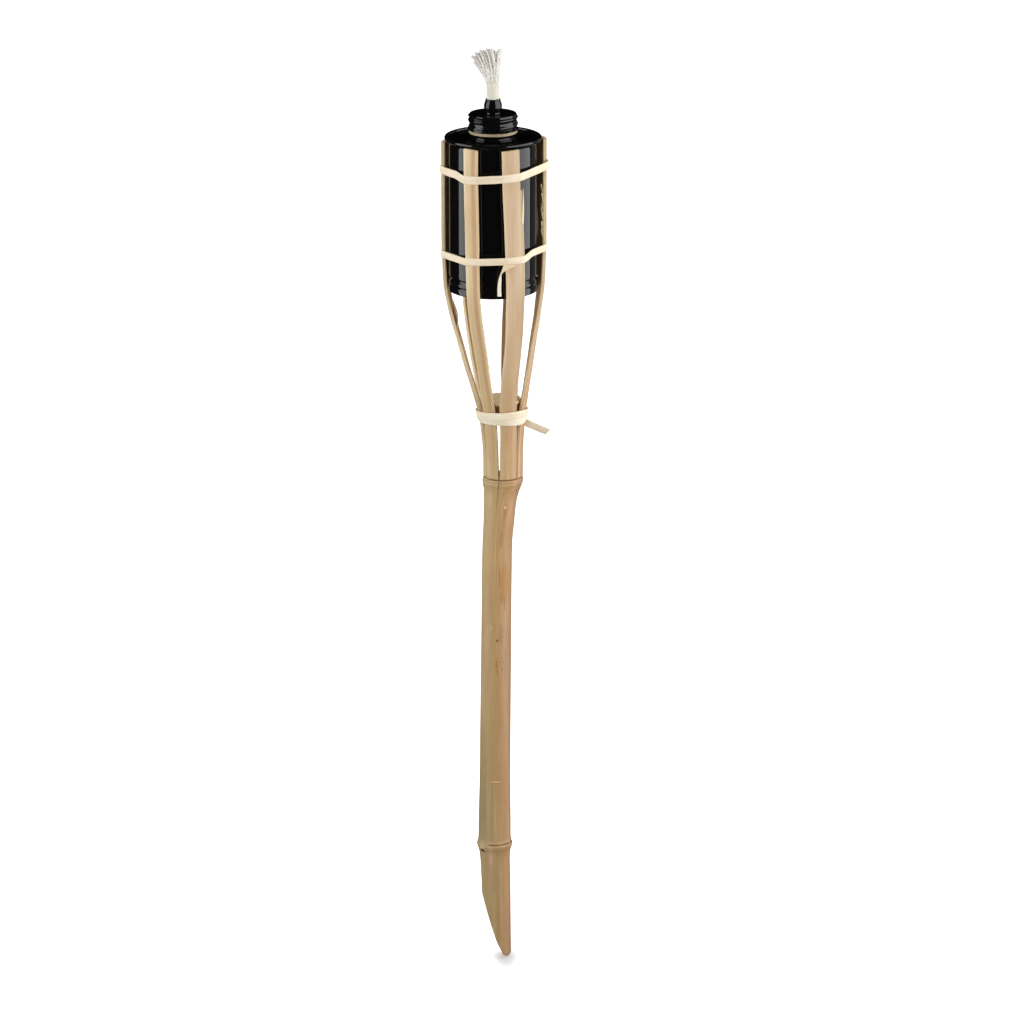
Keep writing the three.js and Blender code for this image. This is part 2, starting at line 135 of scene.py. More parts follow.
def node_points(name):
    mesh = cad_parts[name].data
    flat = np.empty(len(mesh.vertices) * 3)
    mesh.vertices.foreach_get("co", flat)
    return np.unique(np.round(flat.reshape(-1, 3), 6), axis=0)


def hole_radius(name):
    """How close a node's points come to the Z axis."""
    return math.sqrt((node_points(name)[:, :2] ** 2).sum(axis=1).min())


def rows_of(name):
    """The node's points as (height, x and y of each point) rows, from the top down."""
    fewest = 5
    points = node_points(name)
    heights = np.round(points[:, 2], 5)
    rows = [(h, points[heights == h][:, :2]) for h in np.unique(heights)[::-1]]
    return [(h, flat) for h, flat in rows if len(flat) >= fewest]


def circle_through(flat):
    """Centre x, centre y and radius of the circle that best fits flat points."""
    system = np.column_stack([2 * flat, np.ones(len(flat))])
    x, y, rest = np.linalg.lstsq(system, (flat ** 2).sum(axis=1), rcond=None)[0]
    return x, y, math.sqrt(rest + x * x + y * y)


def read_culm():
    """Curves of the culm's centre line, outer radius and bore by height."""
    least_outside = 13.65 * MM          # between the widest bore and the slimmest outside
    centres, outsides, bores = [], [], []
    middle = rows_of("pole")[0][1].mean(axis=0)
    for height, flat in rows_of("pole"):
        distance = np.hypot(*(flat - middle).T)
        outer = flat[distance > least_outside]
        inner = flat[distance <= least_outside]
        if len(outer) >= 5:
            x, y, radius = circle_through(outer)
            middle = np.array([x, y])
            centres.append((height, x))
            outsides.append((height, radius))
        if len(inner) >= 14:
            bores.append((height, circle_through(inner)[2]))
    return curve_through(centres), curve_through(outsides), curve_through(bores)


culm_centre, culm_radius, culm_bore = read_culm()
CULM_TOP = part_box("pole")[1].z
NODE_RADIUS = float(culm_radius(CULM_TOP))
LOWER_NODE = (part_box("lower_diaphragm")[0].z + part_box("lower_diaphragm")[1].z) / 2


class Slat:
    """Where a stave stands, as its CAD node has it at each height."""

    def __init__(self, node):
        self.node = node
        low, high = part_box(node)
        self.bottom, self.top = low.z, high.z
        measured = {key: [] for key in ("x", "y", "facing", "arc", "thickness", "half")}
        for height, flat in rows_of(node):
            for key, value in self.measure(height, flat).items():
                measured[key].append((height, value))
        turns = np.array(measured["facing"])
        turns[:, 1] = np.degrees(np.unwrap(np.radians(turns[:, 1])))
        measured["facing"] = turns
        self.curves = {key: curve_through(knots) for key, knots in measured.items()}
        self.root_azimuth = float(self.curves["facing"](self.bottom))
        self.half = float(np.mean([half for _, half in measured["half"]]))

    @staticmethod
    def measure(height, flat):
        """The arc, thickness and direction of one row of a stave's section."""
        middle = flat.mean(axis=0)
        axes = np.linalg.svd(flat - middle)[2]
        outwards = axes[1]
        if outwards @ (middle - [culm_centre(height), 0]) < 0:
            outwards = -outwards
        sideways = np.array([-outwards[1], outwards[0]])
        across = (flat - middle) @ sideways
        out = (flat - middle) @ outwards
        order = np.argsort(across)
        left, inside, right = order[:3], order[3:7], order[7:]
        inner_left, inner_right = left[np.argmin(out[left])], right[np.argmin(out[right])]
        edges = [i for i in (*left, *right) if i not in (inner_left, inner_right)]
        face = sorted(inside, key=lambda i: out[i])[2:]
        outer = np.array([flat[i] for i in (*edges, *face)])
        x, y, arc = circle_through(np.array([flat[i] for i in (*face, *sorted(
            edges, key=lambda i: abs(across[i]))[:2])]))
        inner = np.array([flat[inner_left], flat[inner_right]])
        thickness = arc - np.hypot(*(inner - [x, y]).T).mean()
        reach = np.abs((outer - [x, y]) @ sideways).max()
        return {
            "x": x, "y": y, "arc": arc, "thickness": thickness,
            "half": arc * math.asin(min(1, reach / arc)),
            "facing": math.degrees(math.atan2(outwards[0], -outwards[1])),
        }

    def thickness(self, height):
        return self.curves["thickness"](height)

    def place(self, across, depth, height):
        """Points of the stave: across along its outer arc, depth inwards from its skin."""
        across, depth, height = np.broadcast_arrays(across, depth, height)
        arc = self.curves["arc"](height)
        facing = np.radians(self.curves["facing"](height))
        turn = across / arc
        sideways = (arc - depth) * np.sin(turn)
        outwards = (arc - depth) * np.cos(turn)
        x = self.curves["x"](height) + outwards * np.sin(facing) + sideways * np.cos(facing)
        y = self.curves["y"](height) - outwards * np.cos(facing) + sideways * np.sin(facing)
        return np.stack([x, y, height], axis=-1)

    def grain(self, across, depth, height):
        """The same points as they stood in the culm before it was split."""
        across, depth, height = np.broadcast_arrays(across, depth, height)
        azimuth = self.root_azimuth + np.degrees(across / NODE_RADIUS)
        return points_at(azimuth, NODE_RADIUS - depth, height)


SLATS = {
    node[len("stave_"):]: Slat(node)
    for node in sorted(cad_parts) if node.startswith("stave_")
}


# ---------- making meshes ----------

class Build:
    """Vertices and faces of one piece, with values that its material reads at each vertex."""

    def __init__(self):
        self.points, self.faces = [], []
        self.values = {"grain": [], "tint": [], "depth": []}
        self.count = 0

    def add(self, points, faces, grain=None, tint=(1, 1, 1), depth=0.0):
        points = np.asarray(points, float).reshape(-1, 3)
        size = len(points)
        self.points.append(points)
        self.faces += [tuple(int(i) + self.count for i in face) for face in faces]
        grain = points if grain is None else np.asarray(grain, float).reshape(-1, 3)
        self.values["grain"].append(grain)
        self.values["tint"].append(np.broadcast_to(np.asarray(tint, float).reshape(-1, 3), (size, 3)))
        self.values["depth"].append(np.broadcast_to(np.asarray(depth, float).reshape(-1), (size,)))
        self.count += size

    def mesh(self, name, sharp=40):
        mesh = bpy.data.meshes.new(name)
        mesh.from_pydata(np.concatenate(self.points).tolist(), [], self.faces)
        grain = mesh.attributes.new("grain", "FLOAT_VECTOR", "POINT")
        grain.data.foreach_set("vector", np.concatenate(self.values["grain"]).ravel())
        tint = mesh.attributes.new("tint", "FLOAT_COLOR", "POINT")
        shades = np.concatenate(self.values["tint"])
        tint.data.foreach_set("color", np.column_stack([shades, np.ones(len(shades))]).ravel())
        depth = mesh.attributes.new("depth", "FLOAT", "POINT")
        depth.data.foreach_set("value", np.concatenate(self.values["depth"]))
        mesh.shade_smooth()
        mesh.set_sharp_from_angle(angle=math.radians(sharp))
        return mesh


def grid_faces(rows, columns, wrap_rows=False, wrap_columns=True):
    """Quads between the points of a grid that is listed row by row."""
    faces = []
    for r in range(rows if wrap_rows else rows - 1):
        for c in range(columns if wrap_columns else columns - 1):
            below, beside = (r + 1) % rows, (c + 1) % columns
            faces.append((r * columns + c, r * columns + beside,
                          below * columns + beside, below * columns + c))
    return faces


def show(name, build, material, body, slot, *nodes, sharp=40):
    """Puts a finished piece in the scene, riding on its body in place of its CAD nodes."""
    obj = bpy.data.objects.new(name, build.mesh(name, sharp))
    bpy.context.scene.collection.objects.link(obj)
    obj.data.materials.append(material)
    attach(obj, body)
    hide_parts(*nodes)
    return obj


def fan_faces(rows, columns):
    """Triangles from a grid's first and last rows to two end points listed after the grid."""
    foot, tip = rows * columns, rows * columns + 1
    last = foot - columns
    fans = []
    for c in range(columns):
        beside = (c + 1) % columns
        fans += [(foot, beside, c), (tip, last + c, last + beside)]
    return fans


def turned_grid(outline, segments, relief):
    """Rows of points of a (radius, height) outline turned about the Z axis.
    relief(azimuth, radius, height) gives what is added to each radius."""
    radius, height = np.array(outline, float).T
    azimuth, reach = np.meshgrid(np.arange(segments) * 360 / segments, radius)
    heights = np.repeat(height[:, None], segments, axis=1)
    if relief is not None:
        reach = reach + relief(azimuth, reach, heights)
    return points_at(azimuth, reach, heights)


def turned(outline, segments=144, relief=None):
    """A Build of a closed outline, listed anticlockwise, turned about the Z axis."""
    build = Build()
    build.add(turned_grid(outline, segments, relief), grid_faces(len(outline), segments, wrap_rows=True))
    return build


def disc_turned(outline, segments=144, relief=None):
    """Like turned(), for an outline whose first and last points are on the Z axis."""
    points = turned_grid(outline[1:-1], segments, relief)
    ends = np.array([[0, 0, outline[0][1]], [0, 0, outline[-1][1]]])
    rows = len(points)
    build = Build()
    faces = grid_faces(rows, segments) + fan_faces(rows, segments)
    build.add(np.vstack([points.reshape(-1, 3), ends]), faces)
    return build


def steps_from(corner, steps):
    """(radius, height) points given in millimetres from a corner."""
    return [(corner[0] + out * MM, corner[1] + up * MM) for out, up in steps]


def arc_points(centre, radius, start, end, count):
    """(radius, height) points on an arc, with angles in degrees from straight outwards."""
    angles = np.radians(np.linspace(start, end, count))
    return [(centre[0] + radius * math.cos(a), centre[1] + radius * math.sin(a)) for a in angles]


def even_path(points, count):
    """Points spaced evenly along a smooth curve through the given ones."""
    points = np.asarray(points, float)
    along = np.concatenate([[0], np.cumsum(np.linalg.norm(np.diff(points, axis=0), axis=1))])
    channels = [curve_through(list(zip(along, points[:, i]))) for i in range(points.shape[1])]
    at = np.linspace(0, along[-1], count)
    return np.stack([channel(at) for channel in channels], axis=-1)


def ribbon(build, path, outwards, width, thickness, tint, seed, cup=0.0, ragged=1.0, skew=(0, 0),
           sideways=None):
    """Adds a flat strip along a path. outwards is the way its good face looks at each point, cup how
    far its edges curl back, ragged how uneven they are, and skew how slanted its two ends are cut."""
    count = len(path)
    tangent = np.gradient(path, axis=0)
    tangent /= np.linalg.norm(tangent, axis=1, keepdims=True)
    outwards = outwards - (outwards * tangent).sum(axis=1, keepdims=True) * tangent
    outwards /= np.linalg.norm(outwards, axis=1, keepdims=True)
    if sideways is None:
        sideways = np.cross(tangent, outwards)
    along = np.concatenate([[0], np.cumsum(np.linalg.norm(np.diff(path, axis=0), axis=1))])
    width = np.broadcast_to(np.asarray(width, float), (count,))
    steps = 10
    share = np.linspace(-1, 1, steps)
    loop = [(s, 0) for s in share] + [(s, 1) for s in share[::-1]]
    across = np.array([s for s, _ in loop])
    depth = np.array([d for _, d in loop])
    wander = [
        ragged * (0.22 * MM * rough_line(along, 12 * MM, seed + side)
                  + 0.08 * MM * rough_line(along, 2.5 * MM, seed + side + 0.5))
        for side in (1, 2)
    ]
    half = width[:, None] / 2
    offset = across * np.where(across < 0, half + wander[0][:, None], half + wander[1][:, None])
    crown = thickness * (0.5 - depth) * (1 - 0.45 * np.abs(across) ** 6)
    fibres = np.stack([offset, np.zeros_like(offset), along[:, None] + 0 * offset], axis=-1)
    relief = 0.05 * MM * rough(fibres, np.array([1.6, 1, 0.05]) / MM, seed + 4)
    lift = crown - cup * across ** 2 + relief
    reach = np.array([3 * MM])
    slant = offset * (skew[0] * np.exp(-along[:, None] / reach)
                      + skew[1] * np.exp(-(along[-1] - along[:, None]) / reach))
    points = (path[:, None] + sideways[:, None] * offset[..., None]
              + outwards[:, None] * lift[..., None] + tangent[:, None] * slant[..., None])
    grain = np.stack([offset, depth * thickness + 0 * offset,
                      along[:, None] + seed * 0.05 + 0 * offset], axis=-1)
    columns = len(loop)
    faces = grid_faces(count, columns)
    for row, flip in ((0, False), (count - 1, True)):
        base = row * columns
        for i in range(steps - 1):
            quad = (base + i, base + columns - 1 - i, base + columns - 2 - i, base + i + 1)
            faces.append(quad[::-1] if flip else quad)
    shades = np.broadcast_to(np.asarray(tint, float), (count, 3)) if np.ndim(tint) < 2 else tint
    build.add(points, faces, grain=grain, tint=np.repeat(shades, columns, axis=0),
              depth=np.tile(depth, count))


# ---------- materials ----------

class Paint:
    """The nodes of one material. uniform gives the shader's own values."""

    def __init__(self, name, **uniform):
        self.material = bpy.data.materials.new(name)
        self.material.use_nodes = True
        self.tree = self.material.node_tree
        self.shader = next(n for n in self.tree.nodes if n.type == "BSDF_PRINCIPLED")
        for socket, value in uniform.items():
            self.shader.inputs[socket.replace("_", " ")].default_value = value

    def add(self, kind, inputs, output=0, **settings):
        node = self.tree.nodes.new(kind)
        for key, value in settings.items():
            setattr(node, key, value)
        for socket, value in inputs.items():
            self.feed(node.inputs[socket], value)
        return node.outputs[output]

    def feed(self, socket, value):
        if isinstance(value, bpy.types.NodeSocket):
            self.tree.links.new(value, socket)
        else:
            socket.default_value = value

    def set(self, socket, value):
        self.feed(self.shader.inputs[socket], value)

    def read(self, name, output="Vector"):
        return self.add("ShaderNodeAttribute", {}, output, attribute_name=name)

    def place(self):
        """The vertex's own place, in millimetres."""
        where = self.add("ShaderNodeTexCoord", {}, "Object")
        return self.stretch(where, (1000, 1000, 1000))

    def grain(self):
        """The place along and across the fibres, in millimetres."""
        return self.stretch(self.read("grain"), (1000, 1000, 1000))

    def stretch(self, vector, factors):
        return self.add("ShaderNodeVectorMath", {0: vector, 1: factors}, operation="MULTIPLY")

    def noise(self, vector, factors, detail=2.0, roughness=0.5, distortion=0.0):
        """Noise from 0 to 1, with the vector stretched by one factor or three (per millimetre)."""
        factors = tuple(np.broadcast_to(factors, 3).tolist())
        return self.add("ShaderNodeTexNoise", {
            "Vector": self.stretch(vector, factors), "Scale": 1.0, "Detail": detail,
            "Roughness": roughness, "Distortion": distortion}, "Fac")

    def span(self, value, low, high, to_low=0.0, to_high=1.0):
        return self.add("ShaderNodeMapRange", {
            "Value": value, "From Min": low, "From Max": high, "To Min": to_low, "To Max": to_high,
        }, interpolation_type="SMOOTHSTEP")

    def maths(self, operation, first, second=0.0):
        return self.add("ShaderNodeMath", {0: first, 1: second}, operation=operation)

    def blend(self, share, first, second, how="MIX"):
        shades = [x if isinstance(x, bpy.types.NodeSocket) else (*x, 1) for x in (first, second)]
        return self.add("ShaderNodeMix", {0: share, 6: shades[0], 7: shades[1]}, 2,
                        data_type="RGBA", blend_type=how)

    def grey(self, value):
        return self.add("ShaderNodeCombineColor", {0: value, 1: value, 2: value})

    def scaled(self, shade, factor):
        """A colour made lighter or darker by a factor."""
        return self.blend(1.0, shade, self.grey(factor), "MULTIPLY")

    def bump(self, height, strength, distance):
        made = self.add("ShaderNodeBump", {"Height": height, "Strength": strength, "Distance": distance})
        self.set("Normal", made)

    def finish(self, shade, roughness, height, strength, distance):
        self.set("Base Color", shade)
        self.set("Roughness", roughness)
        self.bump(height, strength, distance)
        return self.material

    def spot(self, vector, centre, radii, soft=0.35):
        """1 inside an ellipsoid of the vector's space and 0 outside, with a soft rim."""
        from_centre = self.add("ShaderNodeVectorMath", {0: vector, 1: tuple(centre)}, operation="SUBTRACT")
        scaled = self.stretch(from_centre, tuple(1 / r for r in radii))
        length = self.add("ShaderNodeVectorMath", {0: scaled}, "Value", operation="LENGTH")
        return self.span(length, 1 - soft, 1 + soft, 1.0, 0.0)


STREAK_BROWN = colour(138, 96, 52)
RAW_PALE = colour(242, 224, 190)
# brown of the inner face, partly its own tone and partly painted shade
INNER_BROWN_AND_SHADE = colour(150, 112, 72)
DARK_MARK = colour(82, 52, 28)


def bamboo_paint(name, marks=()):
    """Bamboo: a satin skin with streaks along the fibres, paler and rougher where it was split.
    marks are (azimuth, height, half width, half height, colour, strength, radius) in millimetres."""
    paint = Paint(name, Roughness=0.45, IOR=1.46)
    grain = paint.grain()
    depth = paint.read("depth", "Fac")
    shade = paint.read("tint", "Color")
    blotch = paint.noise(grain, (0.09, 0.09, 0.018), detail=3)
    streak = paint.noise(grain, (0.55, 0.55, 0.008), detail=3, roughness=0.6)
    fibre = paint.noise(grain, (2.6, 2.6, 0.035), detail=4, roughness=0.65)
    hair = paint.noise(grain, (7.0, 7.0, 0.12), detail=2)
    shade = paint.blend(paint.span(blotch, 0.35, 0.75, 0, 0.22), shade, colour(206, 160, 104), "MULTIPLY")
    shade = paint.blend(paint.span(streak, 0.52, 0.78, 0, 0.30), shade, STREAK_BROWN)
    shade = paint.blend(paint.span(streak, 0.46, 0.24, 0, 0.22), shade, colour(232, 212, 168))
    shade = paint.scaled(shade, paint.span(fibre, 0.25, 0.75, 0.93, 1.06))
    shade = paint.scaled(shade, paint.span(hair, 0.2, 0.8, 0.975, 1.02))
    speck = paint.noise(grain, (0.9, 0.9, 0.55), detail=1)
    shade = paint.blend(paint.span(speck, 0.76, 0.84, 0, 0.45), shade, STREAK_BROWN)
    for azimuth, height, half_width, half_height, spot_shade, strength, radius in marks:
        centre = turn_of(np.array(azimuth)) * radius
        spot = paint.spot(grain, (centre[0], centre[1], height),
                          (half_width, half_width, half_height))
        ragged = paint.maths("MULTIPLY", spot, paint.span(fibre, 0.25, 0.6, 0.55, 1.0))
        shade = paint.blend(paint.maths("MULTIPLY", ragged, strength), shade, spot_shade)
    cut_fibre = paint.noise(grain, (3.4, 3.4, 0.05), detail=5, roughness=0.7)
    raw_shade = paint.blend(paint.span(cut_fibre, 0.35, 0.7), RAW_PALE, colour(212, 182, 138))
    # the inner face is brown, partly its own tone and partly painted shade
    inner_tone_and_shade = paint.blend(paint.span(cut_fibre, 0.3, 0.7), colour(186, 152, 108), INNER_BROWN_AND_SHADE)
    cut_shade = paint.blend(paint.span(depth, 0.55, 0.98), raw_shade, inner_tone_and_shade)
    cut = paint.span(depth, 0.03, 0.14)
    paint.set("Base Color", paint.blend(cut, shade, cut_shade))
    worn = paint.span(blotch, 0.3, 0.7, 0.38, 0.56)
    paint.set("Roughness", paint.maths("ADD", worn, paint.maths("MULTIPLY", cut, 0.3)))
    height = paint.maths("ADD", paint.maths("MULTIPLY", fibre, 0.5), paint.maths("MULTIPLY", hair, 0.2))
    carved = paint.maths("MULTIPLY", cut_fibre, paint.maths("MULTIPLY", cut, 2.2))
    paint.bump(paint.maths("ADD", height, carved), 0.35, 0.25 * MM)
    return paint.material


def wood_paint(name, shade, dark, tinted=False):
    """Short-grained pale wood for the plug and the diaphragms."""
    paint = Paint(name, Roughness=0.75, IOR=1.45)
    where = paint.place()
    rings = paint.noise(where, (0.35, 0.35, 0.1), detail=4, roughness=0.6, distortion=0.6)
    pores = paint.noise(where, (2.4, 2.4, 0.5), detail=3, roughness=0.7)
    tone = paint.blend(paint.span(rings, 0.35, 0.7), shade, dark)
    # on the plug the tint carries painted shade on its side
    if tinted:
        tone = paint.blend(1.0, tone, paint.read("tint", "Color"), "MULTIPLY")
    tone = paint.scaled(tone, paint.span(pores, 0.3, 0.75, 1.05, 0.82))
    return paint.finish(tone, paint.span(pores, 0.3, 0.7, 0.68, 0.86),
                        pores, 0.5, 0.3 * MM)


def cane_paint(name):
    """Flat cane: cream, with fine fibres along it and a dull face."""
    paint = Paint(name, Roughness=0.6, IOR=1.45)
    grain = paint.grain()
    shade = paint.read("tint", "Color")
    fibre = paint.noise(grain, (2.8, 1.0, 0.045), detail=5, roughness=0.7)
    band = paint.noise(grain, (0.5, 0.5, 0.02), detail=3)
    hair = paint.noise(grain, (9.0, 2.0, 0.15), detail=2)
    shade = paint.blend(paint.span(band, 0.4, 0.75, 0, 0.35), shade, colour(204, 178, 132))
    shade = paint.scaled(shade, paint.span(fibre, 0.25, 0.72, 1.05, 0.88))
    shade = paint.scaled(shade, paint.span(hair, 0.25, 0.8, 1.02, 0.94))
    knot = paint.noise(grain, (0.4, 0.4, 0.16), detail=2)
    shade = paint.blend(paint.span(knot, 0.70, 0.78, 0, 0.4), shade, colour(186, 148, 96))
    return paint.finish(shade, paint.span(fibre, 0.3, 0.7, 0.48, 0.7),
                        paint.maths("ADD", fibre, paint.maths("MULTIPLY", hair, 0.4)), 0.45, 0.2 * MM)


ENAMEL_BLACK = (0.0035, 0.0033, 0.0036)
ENAMEL_DUST = (0.012, 0.0115, 0.011)


def enamel_paint(name):
    """Gloss black enamel on sheet metal, with a little orange peel, dust and rubbing."""
    paint = Paint(name, Roughness=0.06, IOR=1.5)
    where = paint.place()
    peel = paint.noise(where, 0.55, detail=2)
    rub = paint.noise(where, (0.12, 0.12, 0.5), detail=4, roughness=0.7)
    dust = paint.noise(where, 3.0, detail=2)
    dusty = paint.span(dust, 0.62, 0.8, 0, 0.5)
    tone = paint.blend(dusty, ENAMEL_BLACK, ENAMEL_DUST)
    return paint.finish(tone, paint.span(rub, 0.35, 0.8, 0.035, 0.13),
                        peel, 0.05, 0.1 * MM)


def board_paint(name):
    """The pale sealing ring under the cap."""
    paint = Paint(name, Roughness=0.5, IOR=1.45)
    where = paint.place()
    cloud = paint.noise(where, 0.25, detail=3)
    speck = paint.noise(where, 3.0, detail=2)
    tone = paint.blend(paint.span(cloud, 0.3, 0.7), colour(190, 176, 144), colour(158, 142, 110))
    tone = paint.scaled(tone, paint.span(speck, 0.3, 0.7, 0.93, 1.04))
    return paint.finish(tone, paint.span(cloud, 0.3, 0.7, 0.42, 0.6),
                        speck, 0.2, 0.1 * MM)


def rubber_paint(name):
    """The dark liner inside the cap."""
    paint = Paint(name, Roughness=0.8, IOR=1.5)
    where = paint.place()
    cloud = paint.noise(where, 0.3, detail=3)
    fine = paint.noise(where, 4.0, detail=2)
    tone = paint.blend(cloud, colour(66, 62, 58), colour(88, 84, 78))
    return paint.finish(tone, paint.span(fine, 0.3, 0.7, 0.72, 0.9),
                        fine, 0.3, 0.1 * MM)


def cotton_paint(name):
    """Cotton wick: soft white yarn with fine twisted fibres."""
    paint = Paint(name, Roughness=0.95, IOR=1.4, Sheen_Weight=0.25, Sheen_Roughness=0.6)
    grain = paint.grain()
    shade = paint.read("tint", "Color")
    yarn = paint.noise(grain, (2.6, 2.6, 0.35), detail=4, roughness=0.7, distortion=0.4)
    fuzz = paint.noise(grain, (7.0, 7.0, 2.0), detail=3)
    shade = paint.scaled(shade, paint.span(yarn, 0.3, 0.7, 1.04, 0.88))
    shade = paint.scaled(shade, paint.span(fuzz, 0.3, 0.75, 1.02, 0.95))
    return paint.finish(shade, paint.span(fuzz, 0.3, 0.7, 0.88, 1.0),
                        paint.maths("ADD", yarn, paint.maths("MULTIPLY", fuzz, 0.5)), 0.6, 0.3 * MM)


# ---------- the culm's colours and relief ----------

GREEN_SKIN = colour(182, 155, 110)
TAN_SKIN = colour(184, 147, 100)
PINK_SKIN = colour(190, 152, 114)
CREAM_SKIN = colour(228, 210, 178)
STRAW_SKIN = colour(216, 194, 152)
SAND_SKIN = colour(216, 188, 152)
ROSE_SKIN = colour(204, 166, 128)
# brown of the ring line and the cracks, and of the painted shade in the node's grooves and creases
CREASE_BROWN = colour(104, 74, 44)

# the skin's colours round the culm; the darkening of the pink on its right, from 45 to 120 degrees, is
# painted shade
skin_tone_and_right_shade = colour_curve([
    (-180, TAN_SKIN), (-120, GREEN_SKIN), (-30, GREEN_SKIN), (15, TAN_SKIN), (45, PINK_SKIN * 0.9),
    (72, PINK_SKIN * 0.72), (120, TAN_SKIN), (180, TAN_SKIN),
])
# darker towards the bottom: partly the culm's own weathering, partly painted shade for light that falls off
# downwards
skin_weathering_and_falloff_shade = curve_through([
    (0, 0.88), (0.1, 0.88), (0.2, 0.9), (0.3, 0.95), (0.42, 1.0), (0.489, 1.04),
])

BRANCH_AZIMUTH = -58          # the flat above the lower node, where a branch grew
BUD_AZIMUTH = -47
BUD_HEIGHT = LOWER_NODE - 3.5 * MM
RING_HEIGHT = LOWER_NODE + 3.5 * MM


# cracks that run down from the upper node: azimuth, half width in degrees, and the heights between
# which they fade in
CRACKS = [(-12, 1.5, 0.446, 0.474), (50, 1.8, 0.472, 0.478)]
# grooves of the upper node, darkened there with painted shade: how far below its top, half width when
# painted, how dark, half width and depth when carved; all in millimetres apart from how dark
NODE_GROOVES = [(2.4, 0.45, 1.0, 0.5, 0.28), (7, 0.6, 0.5, 0.7, 0.18)]


def around(azimuth, centre):
    """Degrees from centre to an azimuth, from -180 to 180."""
    return (azimuth - centre + 180) % 360 - 180


def mixed(first, second, share):
    return first + (second - first) * np.asarray(share)[..., None]


def node_ring(azimuth, height, width):
    """1 on the ring line above the lower node, which the photograph shows at the front and right."""
    return bell(height, RING_HEIGHT, width) * smoothstep(-26, -14, azimuth) * smoothstep(140, 90, azimuth)


def culm_skin(azimuth, height):
    """Colour of the culm's skin, with painted shade: on its right, in the node's grooves and top crease,
    and partly towards the bottom.
    """
    where = points_at(azimuth, 20 * MM, height)
    drift = 28 * rough(where, (20, 20, 6), 3)
    shade = skin_tone_and_right_shade(around(azimuth + drift, 0)) * skin_weathering_and_falloff_shade(height)[..., None]
    green = smoothstep(26, 23, np.abs(around(azimuth, BRANCH_AZIMUTH)))
    green = green * smoothstep(LOWER_NODE, LOWER_NODE + 6 * MM, height) * smoothstep(0.27, 0.16, height)
    shade = mixed(shade, colour(148, 136, 98), 0.8 * green)
    scar = bell(around(azimuth, -14), 0, 11) * bell(height, LOWER_NODE - 8 * MM, 11 * MM)
    shade = mixed(shade, colour(208, 172, 140), 0.9 * scar)
    ring = node_ring(azimuth, height, 0.75 * MM)
    # painted shade in the node's grooves
    groove = sum(dark * bell(height, CULM_TOP - below * MM, wide * MM)
                 for below, wide, dark, _, _ in NODE_GROOVES)
    uneven = 0.75 + 0.5 * rough(where, (90, 90, 30), 5)
    # painted shade in the crease at the culm's top, where the staves leave it
    crease_shade = smoothstep(CULM_TOP - 0.9 * MM, CULM_TOP + 0.1 * MM, height)
    crease_shade = crease_shade * smoothstep(CULM_TOP + 1.6 * MM, CULM_TOP + 0.5 * MM, height)
    crack = sum(bell(around(azimuth, at), 0, wide) * smoothstep(low, high, height)
                for at, wide, low, high in CRACKS)
    crack = crack * smoothstep(CULM_TOP + 0.3 * MM, CULM_TOP, height)
    shade = mixed(shade, CREASE_BROWN, np.clip(1.15 * ring * uneven, 0, 1))
    shade = mixed(shade, CREASE_BROWN, np.clip(0.65 * groove * uneven, 0, 1))
    shade = mixed(shade, CREASE_BROWN, np.clip(0.9 * crack, 0, 1))
    return mixed(shade, CREASE_BROWN, np.clip(0.75 * crease_shade * uneven, 0, 1))


def culm_relief(azimuth, height):
    """What the nodes, the branch's groove, the bud and plain unevenness add to the radius."""
    where = points_at(azimuth, 15 * MM, height)
    swell = 0.16 * MM * rough(where, (60, 60, 14), 1) + 0.035 * MM * rough(where, (420, 420, 10), 2)
    ring = node_ring(azimuth, height, 0.8 * MM)
    lip = bell(height, RING_HEIGHT - 2.2 * MM, 1.2 * MM) * 0.3 * MM
    branch = smoothstep(26, 20, np.abs(around(azimuth, BRANCH_AZIMUTH)))
    branch = branch * smoothstep(LOWER_NODE + 1 * MM, LOWER_NODE + 6 * MM, height)
    branch = branch * smoothstep(0.24, 0.15, height)
    across = around(azimuth, BUD_AZIMUTH) * math.radians(1) * NODE_RADIUS
    up = height - BUD_HEIGHT
    bud = np.exp(-((across / (1.8 * MM)) ** 2 + (up / (1.8 * MM)) ** 2) ** 2)
    brow = bell(across, 0.3 * MM, 3.4 * MM) * bell(up, 3.3 * MM, 1.1 * MM)
    grooves = sum(deep * bell(height, CULM_TOP - below * MM, wide * MM)
                  for below, _, _, wide, deep in NODE_GROOVES)
    lapse = smoothstep(CULM_TOP - 1.1 * MM, CULM_TOP, height) * 0.6
    return (swell + lip - 0.5 * MM * ring - 1.2 * MM * branch - 2.2 * MM * bud + 0.4 * MM * brow
            - grooves * MM - lapse * MM)


# ---------- the pole ----------

POLE_SEGMENTS = 180
cut_rows = node_points("pole")
LEFT_SKIN = cut_rows[cut_rows[:, 0] < culm_centre(cut_rows[:, 2]) - 0.97 * culm_radius(cut_rows[:, 2])]
CUT_TOP = float(LEFT_SKIN[:, 2].min())
CUT_LEFT = float(culm_centre(CUT_TOP) - culm_radius(CUT_TOP))
TIP_LEFT = float(cut_rows[cut_rows[:, 2] < 0.01 * MM][:, 0].min())
TIP_RIGHT = float(culm_centre(0) + culm_radius(0))


def cut_height(x):
    """Height of the slanted cut at each x: a slightly hollow line that ends in a rounded tip."""
    share = np.clip((x - CUT_LEFT) / (TIP_LEFT - CUT_LEFT), 0, 1)
    line = CUT_TOP * (1 - share) - 2.5 * MM * np.sin(math.pi * share) * smoothstep(0, 0.3, share)
    lowest = TIP_LEFT + 0.35 * (TIP_RIGHT - TIP_LEFT)
    left = 1.4 * MM * np.clip((lowest - x) / (lowest - TIP_LEFT), 0, 1) ** 2
    right = 4.2 * MM * np.clip((x - lowest) / (TIP_RIGHT - lowest), 0, 1) ** 2.4
    return np.maximum(line, 0) + left + right


